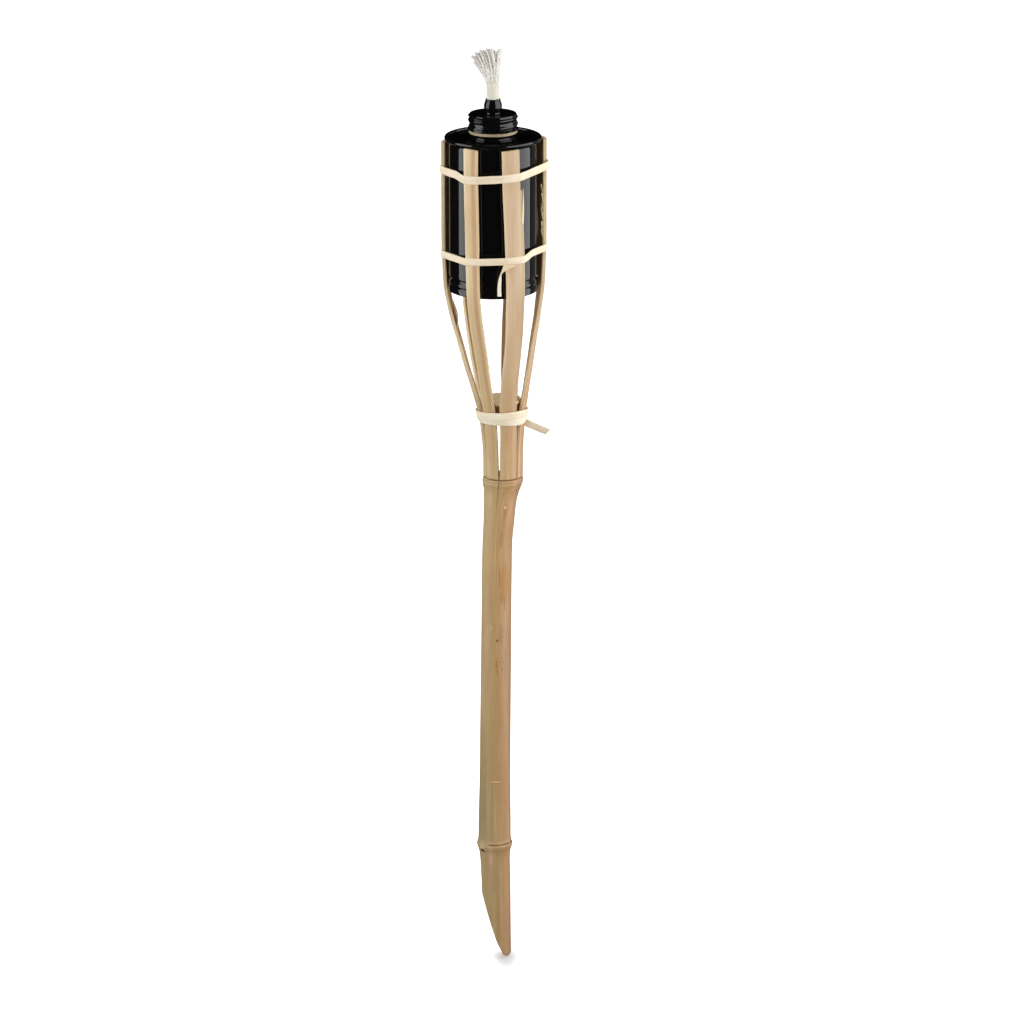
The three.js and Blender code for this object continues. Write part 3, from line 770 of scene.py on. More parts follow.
def cut_heights(azimuth, radius_at):
    """Where the wall ends at the bottom, for each azimuth of the skin or of the bore. The front of
    the tip is worn away, so it ends a little higher than the middle."""
    height = np.zeros(len(azimuth))
    for _ in range(12):
        height = cut_height(culm_centre(height) + radius_at(height) * np.sin(np.radians(azimuth)))
    worn = 5 * MM * smoothstep(0.1, 0.9, np.cos(np.radians(azimuth)))
    return height + worn * smoothstep(24 * MM, 0, height)


def stretched_down(heights, bottoms, upto):
    """Rows of heights for each azimuth: the part below upto is squeezed to end at bottoms."""
    rows = np.asarray(heights)[:, None]
    squeezed = bottoms + (upto - bottoms) * rows / upto
    return np.where(rows < upto, squeezed, rows)


def pole_shell(material):
    azimuth = around(np.arange(POLE_SEGMENTS) * 360 / POLE_SEGMENTS, 0)
    upto = CUT_TOP + 14 * MM
    outside = np.concatenate([
        np.linspace(0, upto, 44)[:-1], np.linspace(upto, LOWER_NODE - 10 * MM, 14)[:-1],
        np.linspace(LOWER_NODE - 10 * MM, LOWER_NODE + 10 * MM, 50)[:-1],
        np.linspace(LOWER_NODE + 10 * MM, CULM_TOP - 14 * MM, 90)[:-1],
        np.linspace(CULM_TOP - 14 * MM, CULM_TOP, 48),
    ])
    inside = np.concatenate([np.linspace(0, upto, 24)[:-1], np.linspace(upto, CULM_TOP, 26)])[::-1]
    out_heights = stretched_down(outside, cut_heights(azimuth, culm_radius), upto)
    in_heights = stretched_down(inside, cut_heights(azimuth, culm_bore), upto)
    turns = np.broadcast_to(azimuth, out_heights.shape)
    foot = out_heights - out_heights[0]
    out_radius = culm_radius(out_heights) + culm_relief(turns, out_heights)
    out_radius = out_radius - 0.6 * MM * np.clip(1 - foot / (1.2 * MM), 0, 1) ** 2
    in_turns = np.broadcast_to(azimuth, in_heights.shape)
    grooves = points_at(in_turns, 12 * MM, in_heights)
    in_radius = culm_bore(in_heights) + 0.15 * MM * rough(grooves, (300, 300, 15), 4)
    heights = np.vstack([out_heights, in_heights])
    radius = np.vstack([out_radius, in_radius])
    around_all = np.vstack([turns, in_turns])
    grain = points_at(around_all, radius, heights)
    points = grain.copy()
    points[..., 0] += culm_centre(heights)
    depth = np.vstack([np.zeros_like(out_radius), np.ones_like(in_radius)])
    build = Build()
    build.add(points, grid_faces(*heights.shape, wrap_rows=True), grain=grain,
              tint=culm_skin(around_all, heights), depth=depth)
    return show("pole_shell", build, material, "culm", "bamboo", "pole")


# ---------- the staves ----------

STAVE_TONES_AND_PAINTED_SHADE = {
    "front_left": [(-1, CREAM_SKIN), (-0.7, STRAW_SKIN), (-0.1, STRAW_SKIN * 0.95),
                   (0.25, ROSE_SKIN * 0.95), (0.5, ROSE_SKIN * 0.84), (0.68, ROSE_SKIN * 0.95),
                   (0.8, STRAW_SKIN), (1, STRAW_SKIN * 0.9)],
    # the front right stave darkens towards its right edge: painted shade
    "front_right": [(-1, CREAM_SKIN), (-0.8, SAND_SKIN * 0.94), (-0.35, SAND_SKIN * 0.82),
                    (0.1, SAND_SKIN * 0.79), (0.6, SAND_SKIN * 0.77), (1, SAND_SKIN * 0.6)],
    "right": [(-1, SAND_SKIN), (-0.5, ROSE_SKIN), (0, SAND_SKIN), (1, STRAW_SKIN)],
    "left": [(-1, STRAW_SKIN), (0, SAND_SKIN), (0.6, STRAW_SKIN), (1, CREAM_SKIN)],
    "back_left": [(-1, STRAW_SKIN), (0, SAND_SKIN), (1, ROSE_SKIN)],
    "back_right": [(-1, ROSE_SKIN), (0, STRAW_SKIN), (1, SAND_SKIN)],
}
OWN_SHADE_FROM, OWN_SHADE_ABOVE = 0.5, 0.68      # between these a stave takes on its own colour
TOP_SLOPES = {"front_left": -0.06, "front_right": 0.06, "right": -0.03}
SLIVER_TOP = 0.776            # the front right stave is wider below this height


def stave_widths(name, slat, heights, seed):
    """How far a stave reaches to its left and its right at each height."""
    reaches = []
    for side in (0, 1):
        wander = 0.28 * MM * rough_line(heights, 34 * MM, seed + side)
        splinters = 0.1 * MM * rough_line(heights, 5 * MM, seed + side + 2)
        calm = smoothstep(slat.bottom, slat.bottom + 40 * MM, heights)
        reaches.append(slat.half + (wander + splinters) * calm)
    if name == "front_left":        # narrower on the left where it bends, and on the right below that
        reaches[0] = reaches[0] - 1.1 * MM * bell(heights, 0.65, 0.085)
        reaches[1] = reaches[1] - 1.3 * MM * bell(heights, 0.585, 0.03)
    if name == "left":              # wider above the bend
        reaches[0] = reaches[0] + 1.3 * MM * smoothstep(0.66, 0.7, heights)
    if name == "front_right":
        step = smoothstep(SLIVER_TOP, SLIVER_TOP - 1.5 * MM, heights)
        reaches[1] = reaches[1] - 0.9 * MM + 2.1 * MM * step * smoothstep(0.6, 0.7, heights)
    return reaches


def stave_heights(slat):
    """Rows of a stave, closer together near its root and its top."""
    return np.concatenate([
        np.linspace(slat.bottom - 0.3 * MM, slat.bottom + 6 * MM, 12)[:-1],
        np.linspace(slat.bottom + 6 * MM, SLIVER_TOP - 4 * MM, 96)[:-1],
        np.linspace(SLIVER_TOP - 4 * MM, SLIVER_TOP + 2 * MM, 13)[:-1],
        np.linspace(SLIVER_TOP + 2 * MM, slat.top, 22),
    ])


def splinter(build, slat, start, end, width, thickness, bow, shade, seed):
    """Adds a thin torn strip that runs from start to a free tip at end. Both are (across, depth,
    height) on the stave, and bow is how far its middle stands off inwards."""
    share = np.linspace(0, 1, 16)
    route = [start[i] + (end[i] - start[i]) * share for i in range(3)]
    route[1] = route[1] + bow * np.sin(math.pi * share)
    path = slat.place(*route)
    outwards = path - slat.place(route[0], route[1] + 1 * MM, route[2])
    widths = width * np.clip(1.02 - share ** 2.2, 0.04, 1)
    ribbon(build, path, outwards, widths, thickness, shade, seed, ragged=0.5)


def stave_piece(name, material, seed):
    slat = SLATS[name]
    faces_across, edge_steps = 17, (0.12, 0.5, 0.9)
    even = np.linspace(-1, 1, faces_across)
    share = np.sin(even * math.pi / 2) * 0.35 + even * 0.65
    loop = [(s, 0.0) for s in share] + [(1.0, d) for d in edge_steps]
    loop += [(s, 1.0) for s in share[::-1]] + [(-1.0, d) for d in edge_steps[::-1]]
    across = np.array([s for s, _ in loop])
    depth = np.array([d for _, d in loop])
    heights = stave_heights(slat)
    left, right = stave_widths(name, slat, heights, seed)
    offset = across * np.where(across < 0, left[:, None], right[:, None])
    rows = np.repeat(heights[:, None], len(loop), axis=1)
    lift = TOP_SLOPES.get(name, 0.0) * offset + 0.25 * MM * rough_line(offset[-1], 3 * MM, seed + 5)
    tall = rows + lift * smoothstep(slat.top - 12 * MM, slat.top, rows)
    thick = slat.thickness(heights)[:, None]
    fibres = np.stack([offset, np.zeros_like(offset), rows], axis=-1)
    hollow = 0.35 * MM * rough(fibres, (400, 1, 16), seed + 6) * (depth > 0.95)
    skin = 0.05 * MM * rough(fibres, (300, 1, 10), seed + 7) * (depth < 0.05)
    corner = 0.25 * MM * (np.abs(across) > 0.99) * (depth < 0.05)
    lapse = 0.5 * MM * smoothstep(slat.bottom + 1.2 * MM, slat.bottom, rows) * (depth < 0.05)
    inwards = depth * thick + hollow + skin + corner + lapse
    points = slat.place(offset, inwards, tall)
    grain = slat.grain(offset, inwards, tall)
    azimuth = around(slat.root_azimuth + np.degrees(offset / NODE_RADIUS), 0)
    young = smoothstep(OWN_SHADE_FROM, OWN_SHADE_ABOVE, rows)
    own = colour_curve(STAVE_TONES_AND_PAINTED_SHADE[name])(across)
    shade = mixed(culm_skin(azimuth, np.minimum(rows, CULM_TOP + 3 * MM)), own[None], 0.3 + 0.7 * young)
    # painted shade in the crease at the stave's root
    crease_shade = smoothstep(slat.bottom + 1.6 * MM, slat.bottom + 0.2 * MM, rows)
    shade = mixed(shade, CREASE_BROWN, 0.7 * crease_shade)
    build = Build()
    columns = len(loop)
    faces = grid_faces(len(heights), columns)
    inner_first = faces_across + len(edge_steps)
    for row, flip in ((0, False), (len(heights) - 1, True)):
        base = row * columns
        cap = []
        for i in range(faces_across - 1):
            mirror = base + inner_first + faces_across - 1 - i
            cap.append((base + i, mirror, mirror - 1, base + i + 1))
        right_side = [base + faces_across - 1 + k for k in range(len(edge_steps) + 2)]
        left_side = [base + columns - 1 - k for k in range(len(edge_steps))]
        cap.append((base, *left_side, base + inner_first + faces_across - 1))
        cap.append(tuple(right_side[::-1]))
        faces += [face[::-1] if flip else face for face in cap]
    build.add(points, faces, grain=grain, tint=shade, depth=np.tile(depth, (len(heights), 1)))
    add_splinters(build, name, slat, seed)
    return show(f"stave_{name}_slat", build, material, "culm", "split_bamboo", slat.node)


def add_splinters(build, name, slat, seed):
    """Adds the loose strips that the split left on a stave."""
    pale = colour(236, 220, 186)
    if name == "front_right":
        foot = (slat.half + 0.2 * MM, 0.6 * MM, 0.742)
        tip = (slat.half + 1.5 * MM, -0.4 * MM, SLIVER_TOP + 1 * MM)
        splinter(build, slat, foot, tip, 1.9 * MM, 0.9 * MM, -0.5 * MM, pale, seed + 20)
    if name == "left":
        thick = float(slat.thickness(0.65))
        splinter(build, slat, (2 * MM, thick - 0.4 * MM, 0.632), (2.5 * MM, thick + 1.6 * MM, 0.6605),
                 7 * MM, 1.5 * MM, 2.6 * MM, colour(200, 176, 130), seed + 20)
        splinter(build, slat, (-3 * MM, thick - 0.2 * MM, 0.636), (-2.5 * MM, thick + 1.2 * MM, 0.652),
                 4 * MM, 1.0 * MM, 1.6 * MM, colour(216, 194, 150), seed + 24)
    if name == "right":
        front_edge = -slat.half
        thick = float(slat.thickness(0.75))
        for i in range(9):
            base = 0.722 + 0.0052 * i
            length = (7 + 3 * math.sin(2.4 * i)) * MM
            out = (1.1 + 0.6 * math.sin(1.7 * i + 1)) * MM
            splinter(build, slat, (front_edge + 0.5 * MM, thick - 0.2 * MM, base),
                     (front_edge + 0.2 * MM, thick + out, base + length),
                     0.9 * MM, 0.8 * MM, 0.3 * MM, pale, seed + 30 + i)


# ---------- plug, bands and binding ----------

def basket_circle(height):
    """Centre x, centre y and radius of the ring that the staves stand in at a height."""
    ring = np.array([slat.place(0, 0, height)[:2] for slat in SLATS.values()])
    return circle_through(ring)


# the plug's top keeps the pale wood; its side is tinted dark brown as painted shade
PLUG_TOP = colour(255, 246, 222)
PLUG_SIDE_SHADE = colour(128, 88, 54)


def plug_piece(material):
    low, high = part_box("spreader_plug")
    rows = rows_of("spreader_plug")
    radii = curve_through([(height, circle_through(flat)[2]) for height, flat in rows])
    centres = curve_through([(height, circle_through(flat)[0]) for height, flat in rows])
    top, bottom = high.z, low.z
    side = [(float(radii(h)) - 0.1 * MM, h) for h in np.linspace(bottom, top - 1 * MM, 16)]
    rim = float(radii(top))
    across = [(rim * share, top - (1 - share) * 0.8 * MM) for share in (0.97, 0.85, 0.65, 0.4, 0.2)]
    outline = [(0, bottom), (side[0][0] * 0.6, bottom), *side, *across, (0, top - 0.8 * MM)]

    def relief(azimuth, radius, height):
        return 0.3 * MM * rough(points_at(azimuth, radius, height), (260, 260, 60), 40)

    build = disc_turned(outline, 96, relief)
    points = build.points[0]
    splintered = np.clip(rough(points, (420, 420, 0), 41), 0, 1) * 2.4 * MM
    back = smoothstep(0, rim, points[:, 1]) * smoothstep(top - 1.2 * MM, top - 0.2 * MM, points[:, 2])
    points[:, 2] += splintered * back
    # painted shade: the plug's side below its top edge is tinted dark brown
    below = smoothstep(top - 2.0 * MM, top - 3.4 * MM, points[:, 2])
    build.values["tint"][0] = mixed(PLUG_TOP, PLUG_SIDE_SHADE, below)
    points[:, 0] += centres(np.minimum(points[:, 2], top))
    return show("spreader_plug_block", build, material, "culm", "plug_wood", "spreader_plug")


def round_the_staves(height, first, turns, count):
    """A path that hugs the staves at a height, from azimuth first, and how far it has turned."""
    loop = []
    for slat in sorted(SLATS.values(), key=lambda s: (float(s.curves["facing"](height)) - first) % 360):
        loop += [slat.place(share * slat.half, 0, height) for share in np.linspace(-1, 1, 5)]
    loop = np.array(loop)
    bearing = np.degrees(np.arctan2(loop[:, 0], -loop[:, 1]))
    order = np.argsort((bearing - first) % 360)
    loop, bearing = loop[order], ((bearing - first) % 360)[order]
    laps = np.vstack([loop] * (int(turns) + 2))
    turned_by = np.concatenate([bearing + 360 * lap for lap in range(int(turns) + 2)])
    along = np.concatenate([[0], np.cumsum(np.linalg.norm(np.diff(laps, axis=0), axis=1))])
    last = np.interp(360 * turns, turned_by, along)
    at = np.linspace(0, last, count)
    path = np.stack([curve_through(list(zip(along, laps[:, i])))(at) for i in range(3)], axis=-1)
    return path, np.interp(at, along, turned_by)


def facing_out(path):
    tangent = np.gradient(path, axis=0)
    flat = np.stack([tangent[:, 1], -tangent[:, 0], np.zeros(len(path))], axis=-1)
    return flat / np.linalg.norm(flat, axis=1, keepdims=True)


CANE_THICKNESS = 0.9 * MM
BAND_CREAM = colour(236, 222, 196)
BAND_PALE = colour(244, 236, 212)
BAND_TAN = colour(226, 206, 170)


def band_turns(build, centre, slope, width, first, turns, lifts, seed):
    """Adds a flat band wound round the staves. lifts are (degrees turned, extra height) knots."""
    path, turned_by = round_the_staves(centre, first, turns, 520)
    outwards = facing_out(path)
    layer = smoothstep(330, 400, turned_by)
    path += outwards * (CANE_THICKNESS * (0.55 + 1.05 * layer))[:, None]
    path[:, 2] += slope[0] * path[:, 0] + slope[1] * path[:, 1]
    path[:, 2] += curve_through(lifts)(turned_by) + 0.35 * MM * rough_line(turned_by, 50, seed)
    shade = mixed(BAND_CREAM, BAND_TAN, smoothstep(-0.3, 0.6, rough_line(turned_by, 35, seed + 1)) * 0.5)
    ribbon(build, path, outwards, width, CANE_THICKNESS, shade, seed, cup=0.25 * MM, skew=(0.6, -0.4))


def upper_band_piece(material):
    low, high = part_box("upper_band")
    centre = (low.z + high.z) / 2
    build = Build()
    band_turns(build, centre, (0.065, 0), 7.3 * MM, 50, 1.42,
               [(0, 1.6 * MM), (40, 1.2 * MM), (120, 0), (170, 0.6 * MM), (215, 2.0 * MM),
                (240, 2.2 * MM), (258, 2.5 * MM), (280, 0.5 * MM), (320, 0), (520, 0.3 * MM)], 60)
    return show("upper_band_cane", build, material, "culm", "cane", "upper_band")


def lower_band_piece(material):
    build = Build()
    low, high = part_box("lower_band")
    centre = high.z - 6.8 * MM / 2 - 2.6 * MM
    band_turns(build, centre, (0.035, -0.05), 6.6 * MM, 110, 1.2,
               [(0, 2.6 * MM), (60, 1.4 * MM), (150, 0), (284, 0), (291, 0.5 * MM), (303, 2.9 * MM),
                (320, 3.1 * MM), (340, 2.9 * MM), (365, 2.6 * MM), (440, 0.6 * MM)], 80)
    # the loose end folds over the band and hangs down: its two edges, as (x, height) in millimetres
    left = np.array([(9.9, 30.5), (8.6, 26.5), (6.6, 21.5), (4.9, 15), (4.1, 7), (4.2, 0.4)]) * MM
    right = np.array([(22.5, 30.5), (15.5, 26.6), (8.7, 22.4), (7.9, 15.5), (7.6, 7), (8.0, 0.4)]) * MM
    at = [0, 0.15, 0.33, 0.5, 0.75, 1]
    share = np.linspace(0, 1, 60)
    edges = [
        np.stack([curve_through(list(zip(at, edge[:, i])))(share) for i in (0, 1)], axis=-1)
        for edge in (left, right)
    ]
    forward = curve_through([(0, -0.4), (0.15, 0.3), (0.33, 0.7), (0.6, 0.4), (1, 0)])(share) * MM
    places = [
        np.stack([edge[:, 0], low.y - 0.2 * MM - forward, low.z + edge[:, 1]], axis=-1) for edge in edges
    ]
    route = (places[0] + places[1]) / 2
    across = places[0] - places[1]
    widths = np.linalg.norm(across, axis=1)
    # the folded part is painted darker tan as painted shade, the hanging strip pale
    shade = mixed(BAND_TAN, BAND_PALE, smoothstep(0.3, 0.45, share))
    ribbon(build, route, np.tile([0.0, -1.0, 0.0], (60, 1)), widths, 0.7 * MM, shade, 90,
           cup=0.15 * MM, ragged=0.3, sideways=across / widths[:, None])
    return show("lower_band_cane", build, material, "culm", "cane", "lower_band")


def binding_piece(material):
    build = Build()
    low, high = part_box("neck_binding")
    top = high.z
    drops = [(-200, 11.5), (-90, 10.1), (0, 9.7), (50, 11.0), (90, 10.4), (180, 9.5), (270, 7.4),
             (360, 4.6), (415, 4.4), (450, 6.7), (500, 8)]
    knots = [(turn, top - drop * MM) for turn, drop in drops]
    turns = np.linspace(-200, 500, 420)
    heights = curve_through(knots)(turns)
    levels = (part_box("spreader_plug")[0].z - 4 * MM, top + 2 * MM)
    circles = [basket_circle(level) for level in levels]
    centre, _, radius = (curve_through(zip(levels, values))(heights) for values in zip(*circles))
    layer = smoothstep(150, 230, turns)
    reach = radius + CANE_THICKNESS * (0.9 + 0.75 * layer)
    outwards = turn_of(turns)
    path = outwards * reach[:, None]
    path[:, 0] += centre
    path[:, 2] = heights
    lean = np.gradient(radius) / np.gradient(heights)
    facing = outwards.copy()
    facing[:, 2] = -np.clip(np.nan_to_num(lean), 0.05, 0.4)
    shade = mixed(BAND_PALE * 0.97, BAND_CREAM, smoothstep(-0.4, 0.5, rough_line(turns, 45, 101)))
    ribbon(build, path, facing, 8.0 * MM, CANE_THICKNESS, shade, 100, cup=0.15 * MM)
    reach_right = high.x
    tail = even_path([
        (reach_right - 27.8 * MM, 3 * MM, low.z + 13.4 * MM),
        (reach_right - 21.3 * MM, 0, low.z + 10.7 * MM),
        (reach_right - 11.8 * MM, 0, low.z + 6.5 * MM), (reach_right - 2.2 * MM, 0, low.z + 2.3 * MM),
    ], 40)
    widths = np.linspace(7.2, 6.2, 40) * MM
    facing = np.stack([np.linspace(0.2, 0.0, 40), -np.ones(40), np.full(40, 0.25)], axis=-1)
    ribbon(build, tail, facing, widths, 0.7 * MM, colour(212, 198, 172), 110, cup=0.2 * MM, skew=(0, -0.4))
    return show("neck_binding_cane", build, material, "culm", "cane", "neck_binding")


# ---------- the oil tank ----------

TANK_FOOT, TANK_RIM_TOP = (corner.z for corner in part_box("tank_wall"))
RIM_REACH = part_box("tank_wall")[1].x
WALL_REACH = 41.6 * MM
SEAM_REACH = WALL_REACH + 0.35 * MM
SHEET = 0.9 * MM
GROOVE_HEIGHT = TANK_FOOT + 12.4 * MM
TOP_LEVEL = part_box("tank_top")[1].z


def wall_relief(azimuth, radius, height):
    """The slight waves that rolled sheet keeps."""
    return 0.035 * MM * rough(points_at(azimuth, radius, height), (40, 40, 14), 120)


def tank_wall_shell(material):
    bore = WALL_REACH - SHEET
    bead = 1.9 * MM
    rim = (RIM_REACH - bead, TANK_RIM_TOP - bead)
    foot = [
        *steps_from((bore, TANK_FOOT), [(0, 0.3), (0.3, 0)]),
        *steps_from((SEAM_REACH, TANK_FOOT), [(-0.4, 0), (-0.1, 0.15), (0, 0.5), (0, 5.0), (-0.2, 5.7)]),
        *steps_from((WALL_REACH, TANK_FOOT), [(-0.5, 6.6), (-0.1, 7.3), (0.1, 7.9), (0.1, 8.9)]),
    ]
    groove = [
        (WALL_REACH - 1.2 * MM * math.exp(-(step / 1.5) ** 2), GROOVE_HEIGHT + step * MM)
        for step in np.linspace(-2.6, 3.6, 21)
    ]
    wall = [(WALL_REACH, height) for height in np.linspace(GROOVE_HEIGHT + 4 * MM, rim[1] - 6 * MM, 34)]
    shoulder = steps_from((WALL_REACH, rim[1]), [(0.05, -4.6), (0.3, -3.4), (0.9, -2.3)])
    roll = arc_points(rim, bead, -95, 190, 22)
    inner = steps_from((bore, TOP_LEVEL), [(0.7, 0.6), (0.2, -0.6), (0, -2)])
    build = turned([*foot, *groove, *wall, *shoulder, *roll, *inner], 180, wall_relief)
    return show("tank_wall_shell", build, material, "tank", "enamel", "tank_wall")


def tank_bottom_pan(material):
    low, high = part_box("tank_bottom")
    edge = high.x
    dish = [(edge * share, rise * MM) for share, rise in ((0, 0.9), (0.55, 0.9), (0.6, 0.5), (0.66, 0))]
    outline = [
        *[(reach, low.z + rise) for reach, rise in dish],
        (edge - 0.2 * MM, low.z), (edge, low.z + 0.2 * MM), (edge, high.z),
        *[(reach, high.z + rise) for reach, rise in dish[::-1]],
    ]
    return show("tank_bottom_pan", disc_turned(outline, 128), material, "tank", "enamel", "tank_bottom")


def tank_top_pan(material):
    low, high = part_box("tank_top")
    edge = high.x
    hole = hole_radius("tank_top")
    outline = [
        (hole, low.z), (edge, low.z),
        *steps_from((edge, high.z), [(0, 0.9), (-0.5, 0.7), (-1.3, 0.1), (-2.2, 0)]),
        *steps_from((hole, high.z), [(9.5, 0), (8.7, -0.25), (7.9, -0.3), (0, -0.3)]),
    ]
    return show("tank_top_pan", turned(outline, 160, wall_relief), material, "tank", "enamel", "tank_top")


# ---------- neck, washer, cap and tube ----------

CAP_PITCH = 6.8 * MM
NECK_PITCH = 6.4 * MM


def helix(azimuth, height, pitch, phase):
    """1 on the crest of a right-hand thread and 0 in its root."""
    turns = (height - phase) / pitch - azimuth / 360
    return 0.5 + 0.5 * np.cos(TAU * turns)


def neck_shell(material):
    low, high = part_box("tank_neck")
    reach = high.x
    bore = hole_radius("tank_neck")
    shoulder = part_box("neck_washer")[0].z - 0.3 * MM
    waist = reach - 2.2 * MM
    thread_low, thread_high = shoulder + 3.5 * MM, high.z - 0.8 * MM
    outline = [
        (bore, low.z),
        *steps_from((waist, low.z), [(1.9, 0), (2.0, 0.3), (1.8, 0.7), (0.5, 1.1), (0, 1.8)]),
        *steps_from((waist, shoulder), [
            (0, -1.6), (0.4, -0.8), (1.8, -0.3), (2.1, -0.1), (2.0, 0), (0.4, 0.1)]),
        *[(waist + 0.2 * MM, h) for h in np.linspace(shoulder + 0.6 * MM, thread_high, 30)],
        *steps_from((waist, high.z), [(-0.2, -0.2), (-0.5, 0)]),
        *steps_from((bore, high.z), [(0.1, 0), (0, -0.2)]),
    ]

    def relief(azimuth, radius, height):
        fade = smoothstep(thread_low, thread_low + 2 * MM, height)
        fade = fade * smoothstep(thread_high, thread_high - 2 * MM, height)
        wall = (radius > waist) & (height > shoulder + 0.5 * MM)
        return 1.0 * MM * helix(azimuth, height, NECK_PITCH, 0) * fade * wall

    return show("tank_neck_shell", turned(outline, 144, relief), material, "tank", "enamel", "tank_neck")


def washer_ring(material):
    low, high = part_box("neck_washer")
    reach = high.x
    hole = hole_radius("neck_washer")
    middle = ((hole + reach) / 2, (low.z + high.z) / 2)
    half = (reach - hole) / 2, (high.z - low.z) / 2
    outline = [
        (middle[0] + half[0] * math.copysign(abs(math.cos(a)) ** 0.35, math.cos(a)),
         middle[1] + half[1] * math.copysign(abs(math.sin(a)) ** 0.6, math.sin(a)))
        for a in np.radians(np.arange(0, 360, 15) - 90)
    ]
    return show("neck_washer_ring", turned(outline, 128), material, "tank", "washer", "neck_washer")


def cap_relief(azimuth, height):
    """The cap's rolled thread, with the short lead-in that starts at its top edge."""
    low, high = (corner.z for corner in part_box("screw_cap"))
    turn = around(azimuth, 0)
    crest = helix(turn, height, CAP_PITCH, low + 3.9 * MM) ** 1.3
    fade = smoothstep(low + 0.6 * MM, low + 2.6 * MM, height)
    fade = fade * smoothstep(high - 1.4 * MM, high - 3.4 * MM, height)
    lead = high - 3.4 * MM + 1.8 * MM * np.clip((-turn - 16) / 50, 0, 1)
    start = bell(height, lead, 0.9 * MM) * smoothstep(-112, -76, turn) * smoothstep(-2, -18, turn)
    groove = bell(height, lead - 1.9 * MM, 0.8 * MM)
    groove = groove * smoothstep(-90, -60, turn) * smoothstep(0, -14, turn)
    return 1.25 * MM * np.maximum(crest * fade * (1 - 0.9 * groove), 1.3 * start)


def cap_shell(material):
    low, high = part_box("screw_cap")
    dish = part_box("cap_liner")[1].z + 1.1 * MM
    reach = 21.95 * MM
    skirt = high.x
    bore = 21.2 * MM
    tube = 7.9 * MM
    outline = [
        (bore + 0.3 * MM, low.z + 0.2 * MM),
        *steps_from((skirt, low.z), [(-0.6, 0), (-0.15, 0.15), (0, 0.6), (-0.5, 1.4)]),
        *[(reach, h) for h in np.linspace(low.z + 2.2 * MM, high.z - 1.1 * MM, 56)],
        *steps_from((reach, high.z), [(-0.1, -0.6), (-0.45, -0.15), (-0.9, 0), (-1.5, -0.1), (-2.0, -0.6)]),
        *steps_from((reach, dish), [(-2.6, 0.15), (-3.4, 0)]),
        *steps_from((tube, dish), [(3, 0), (0, 0), (0, -0.6)]),
        *steps_from((bore, dish), [(-0.6, -0.6), (0, -1.2)]),
        *[(bore, h) for h in np.linspace(dish - 2 * MM, low.z + 1 * MM, 12)],
    ]

    def relief(azimuth, radius, height):
        side = (radius > reach - 0.01 * MM) & (height > low.z + 1.5 * MM) & (height < high.z - 1 * MM)
        return cap_relief(azimuth, height) * side

    return show("screw_cap_shell", turned(outline, 200, relief), material, "cap", "enamel", "screw_cap")


def tube_shell(material):
    low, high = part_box("wick_tube")
    bore = hole_radius("wick_tube")
    widest = high.x
    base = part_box("screw_cap")[1].z - 1.1 * MM
    profile = curve_through([
        *steps_from((base, widest), [(0.2, -1.35), (1.9, -1.3), (4.2, -0.55), (6.9, -0.05), (9.5, -0.3)]),
        *steps_from((high.z, widest), [(-2.2, -1.2), (-0.9, -1.75)]),
    ])
    barrel = [(float(profile(h)) - 0.3 * MM * math.exp(-((h - base - 1.9 * MM) / (0.35 * MM)) ** 2), h)
              for h in np.linspace(base + 0.2 * MM, high.z - 0.9 * MM, 48)]
    outline = [
        (bore, low.z), (bore + 0.8 * MM, low.z), (bore + 0.8 * MM, base + 0.1 * MM), *barrel,
        *arc_points((bore + 0.5 * MM, high.z - 0.45 * MM), 0.42 * MM, 0, 180, 8),
        (bore, high.z - 1.2 * MM),
    ]
    return show("wick_tube_shell", turned(outline, 96), material, "cap", "enamel", "wick_tube")


# ---------- the wick ----------

COTTON_WHITE = colour(238, 235, 230)
COTTON_GREY = colour(214, 209, 198)
COTTON_BASE = colour(216, 212, 198)
# each clump of yarns: how many, its foot's x and y, its tip's x, y and height below the wick's
# top, how far its tips spread, and how far it bows out sideways on the way; all in millimetres
CLUMPS = [
    (20, (-3.2, 0.0), (-17.2, -1.0, 13.0), (1.4, 3.2, 1.6), -3.4),
    (20, (-3.0, 0.0), (-18.6, -1.0, 7.6), (1.6, 4.0, 1.4), -2.6),
    (20, (-2.8, 0.0), (-15.4, -1.0, 5.0), (1.8, 4.2, 2.0), -2.0),
    (20, (-2.4, 0.0), (-12.0, -1.0, 2.8), (1.8, 4.4, 1.6), -1.5),
    (22, (-2.6, 0.0), (-12.5, -1.0, 13.5), (3.4, 3.6, 3.0), -2.4),
    (22, (-2.0, 0.0), (-8.2, 0.0, 3.0), (2.6, 4.8, 1.8), -0.6),
    (24, (-0.6, 0.0), (-4.4, 0.0, 1.0), (2.4, 4.6, 1.4), 0.2),
    (20, (0.8, 0.0), (-1.6, -1.0, 1.2), (1.6, 4.2, 1.4), 0.9),
    (20, (1.4, 0.0), (0.4, 0.0, 7.0), (2.4, 4.0, 3.0), 1.0),
    (24, (2.8, 0.0), (3.0, 0.0, 4.2), (1.6, 4.2, 1.8), 2.0),
    (22, (3.2, 0.0), (4.6, 0.0, 8.0), (1.2, 3.8, 3.6), 2.4),
    (12, (3.2, -1.0), (6.0, -1.0, 1.4), (1.0, 1.8, 1.2), 1.8),
    (5, (3.2, -1.5), (7.8, -1.0, 0.1), (0.6, 1.0, 0.5), 1.4),
]


